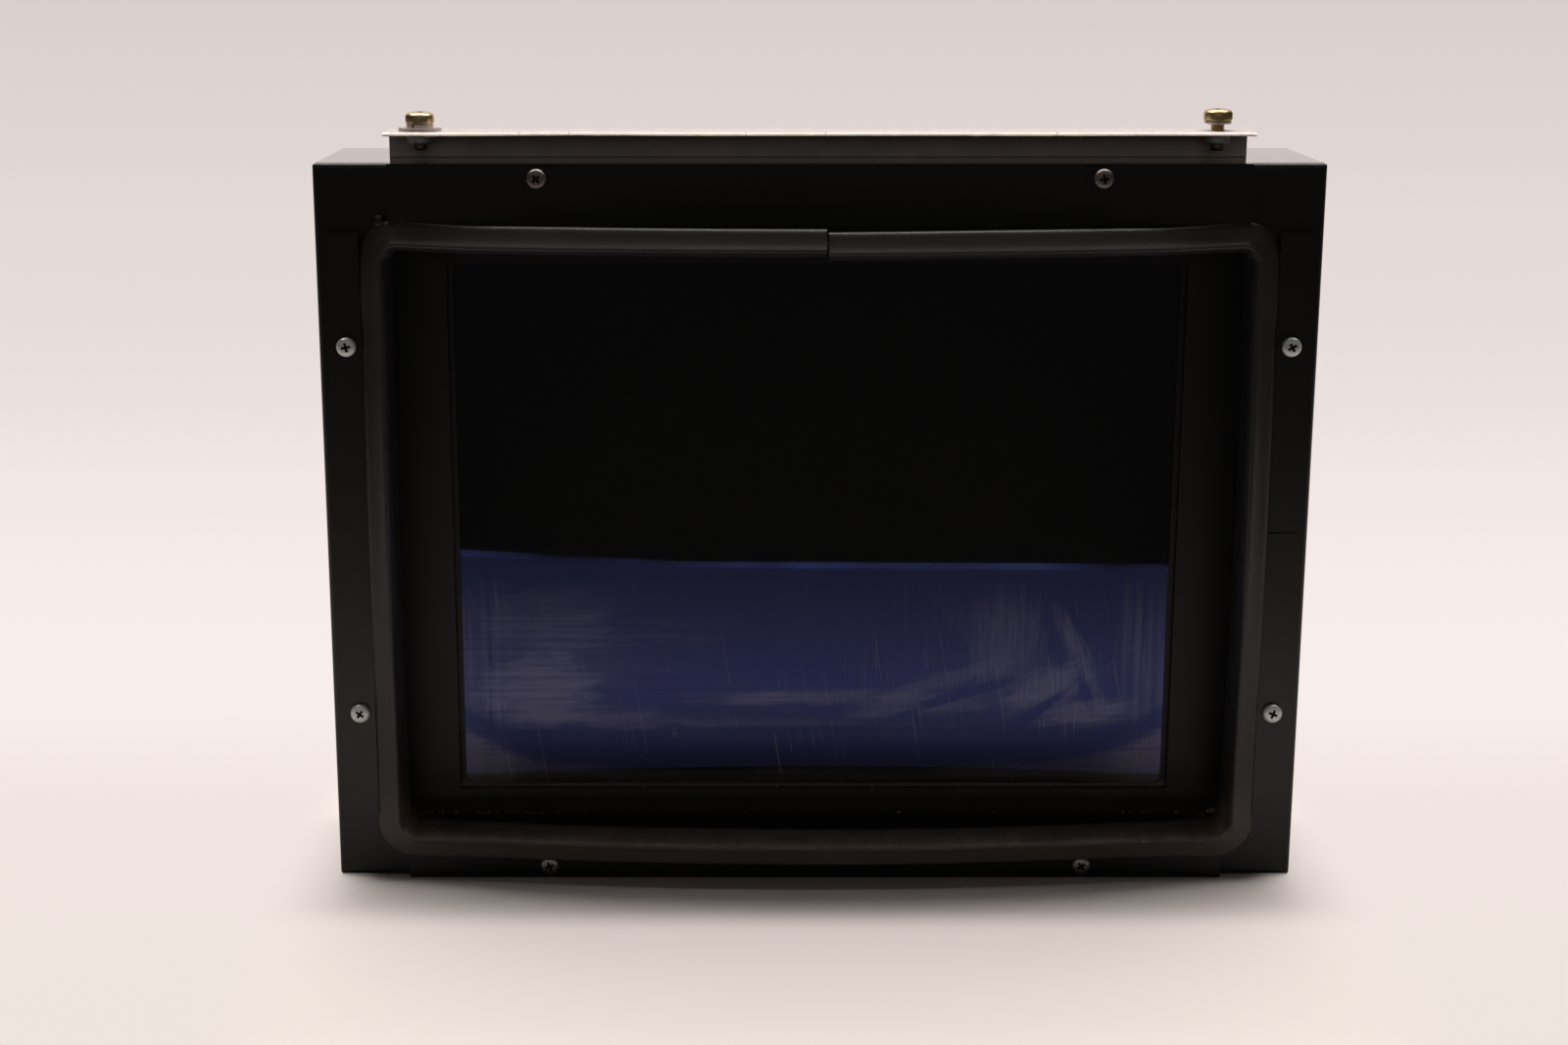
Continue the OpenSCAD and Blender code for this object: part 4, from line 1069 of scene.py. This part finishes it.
def sweep_paper():
    """One sheet: flat on the table, curved up behind and then upright."""
    rows = [(y, 0.0) for y in (-0.2, 0.1, 0.5, 0.9, SWEEP_START)]
    for i in range(1, 17):
        a = math.pi / 32 * i
        rows.append((SWEEP_START + SWEEP_R * math.sin(a), SWEEP_R - SWEEP_R * math.cos(a)))
    rows += [(SWEEP_START + SWEEP_R, 0.9), (SWEEP_START + SWEEP_R, 1.6)]
    points = [(x, y, 0.0) for x, y in TABLE_EDGE]
    for y, z in rows:
        points += [(x, y, z) for x, _ in TABLE_EDGE]
    n = len(TABLE_EDGE)
    faces = [(i * n + k, i * n + k + 1, (i + 1) * n + k + 1, (i + 1) * n + k)
             for i in range(len(rows)) for k in range(n - 1)]
    staged("stage_paper", points, faces, "stage_paper")


def edge_glints():
    """Glowing strips along the table's front lip, in two thin broken lines: a painted glint."""
    t, where = material("painted_lip_glint", "ShaderNodeNewGeometry", "Position")
    broken = t.step(t.drawn(where, (9.0, 1.0, 1.0), 3.0, 0.6), 0.30, 0.75)
    # Painted glint: the strips glow with their own light
    t.surface(Base_Color=BLACK, Emission_Color=COLD_GLINT, Emission_Strength=t.times(broken, 2.6))
    points, faces = [], []
    for back, width in ((0.0, 0.0022), (0.0085, 0.0014)):
        first = len(points)
        for x, y in TABLE_EDGE:
            points += [(x, y + back, 0.001), (x, y + back + width, 0.001)]
        faces += [(first + 2 * k, first + 2 * k + 2, first + 2 * k + 3, first + 2 * k + 1)
                  for k in range(len(TABLE_EDGE) - 1)]
    staged("stage_lip_glint", points, faces, "painted_lip_glint")


# Area lamps: name, place, target, width, depth, watts and colour
LAMPS = (
    ("overhead", (0.0, 0.125, 1.7), (0.0, 0.125, 0.0), 2.4, 0.11, 23.0, WARM_WHITE),
    ("overhead_front", (0.0, -0.10, 1.7), (0.0, -0.10, 0.0), 2.4, 0.12, 1.4, WARM_WHITE),
    ("overhead_edge", (0.0, 0.03, 1.7), (0.0, 0.03, 0.0), 2.4, 0.05, 2.8, WARM_WHITE),
    ("overhead_back", (0.0, 0.60, 1.7), (0.0, 0.40, 0.0), 2.4, 0.80, 16.0, WARM_WHITE),
    ("front_fill", (0.0, -1.5, 0.72), (0.0, 0.0, 0.25), 1.8, 0.5, 0.75, (1.0, 0.92, 0.86)),
    ("wall_wash", (0.0, 0.70, 1.6), (0.0, 1.55, 0.5), 2.4, 0.5, 14.0, WARM_WHITE),
)
ROOM_COLOUR = (0.022, 0.020, 0.0185, 1.0)

# The camera that was fitted to the photograph: focal length and centre in its pixels, place and dip
PHOTO_W = 1600
FOCAL_PX = 2484.4
CENTRE_PX = 761.3
CAMERA_AT = (-0.0296, -1.0191, 0.3921)
CAMERA_DIP = 13.519


def hang_lamps():
    for name, place, target, width, depth, watts, tint in LAMPS:
        data = bpy.data.lights.new(name, "AREA")
        data.shape = "RECTANGLE"
        data.size = width
        data.size_y = depth
        data.energy = watts
        data.color = tint
        made = linked(name, data)
        made.location = place
        made.rotation_euler = (Vector(target) - Vector(place)).to_track_quat("-Z", "Y").to_euler()


class UNIT_OT_stage(bpy.types.Operator):
    """Sets the pale table, the backdrop, the soft light and the camera"""
    bl_idname = "unit.stage"
    bl_label = "Stage"

    def execute(self, context):
        scene = context.scene
        stage_material()
        sweep_paper()
        edge_glints()
        hang_lamps()
        world = bpy.data.worlds.new("room")
        scene.world = world
        world.use_nodes = True
        world.node_tree.nodes["Background"].inputs["Color"].default_value = ROOM_COLOUR
        scene.view_settings.view_transform = "Standard"
        camera = bpy.data.cameras.new("camera")
        camera.sensor_width = 36.0
        camera.lens = FOCAL_PX / PHOTO_W * camera.sensor_width
        camera.shift_x = (PHOTO_W / 2 - CENTRE_PX) / PHOTO_W
        camera.clip_end = 20.0
        made = linked("camera", camera)
        made.location = CAMERA_AT
        made.rotation_euler = (math.radians(90.0 - CAMERA_DIP), 0.0, 0.0)
        scene.camera = made
        return {"FINISHED"}


STEPS = (UNIT_OT_finishes, UNIT_OT_seal, UNIT_OT_bracket, UNIT_OT_bracket_screws, UNIT_OT_strip_screws,
         UNIT_OT_spring_washers, UNIT_OT_crumbs, UNIT_OT_stage)


class UNIT_PT_panel(bpy.types.Panel):
    """Lists the sizes, the colours and the steps."""
    bl_idname = "UNIT_PT_panel"
    bl_label = "Display unit"
    bl_space_type = "VIEW_3D"
    bl_region_type = "UI"
    bl_category = "Display unit"

    def draw(self, context):
        for holder in (context.scene.unit_sizes, context.scene.unit_colours):
            for name in holder.__annotations__:
                self.layout.prop(holder, name)
        for step in STEPS:
            self.layout.operator(step.bl_idname)


CLASSES = (DressingSizes, DressingColours) + STEPS + (UNIT_PT_panel,)


def register():
    for item in CLASSES:
        bpy.utils.register_class(item)
    bpy.types.Scene.unit_sizes = bpy.props.PointerProperty(type=DressingSizes)
    bpy.types.Scene.unit_colours = bpy.props.PointerProperty(type=DressingColours)


def unregister():
    del bpy.types.Scene.unit_colours
    del bpy.types.Scene.unit_sizes
    for item in reversed(CLASSES):
        bpy.utils.unregister_class(item)


def main():
    register()
    bpy.ops.unit.finishes()
    bpy.ops.unit.seal()
    bpy.ops.unit.bracket()
    bpy.ops.unit.bracket_screws()
    bpy.ops.unit.strip_screws()
    bpy.ops.unit.spring_washers()
    bpy.ops.unit.crumbs()
    bpy.ops.unit.stage()


if __name__ == "__main__":
    main()
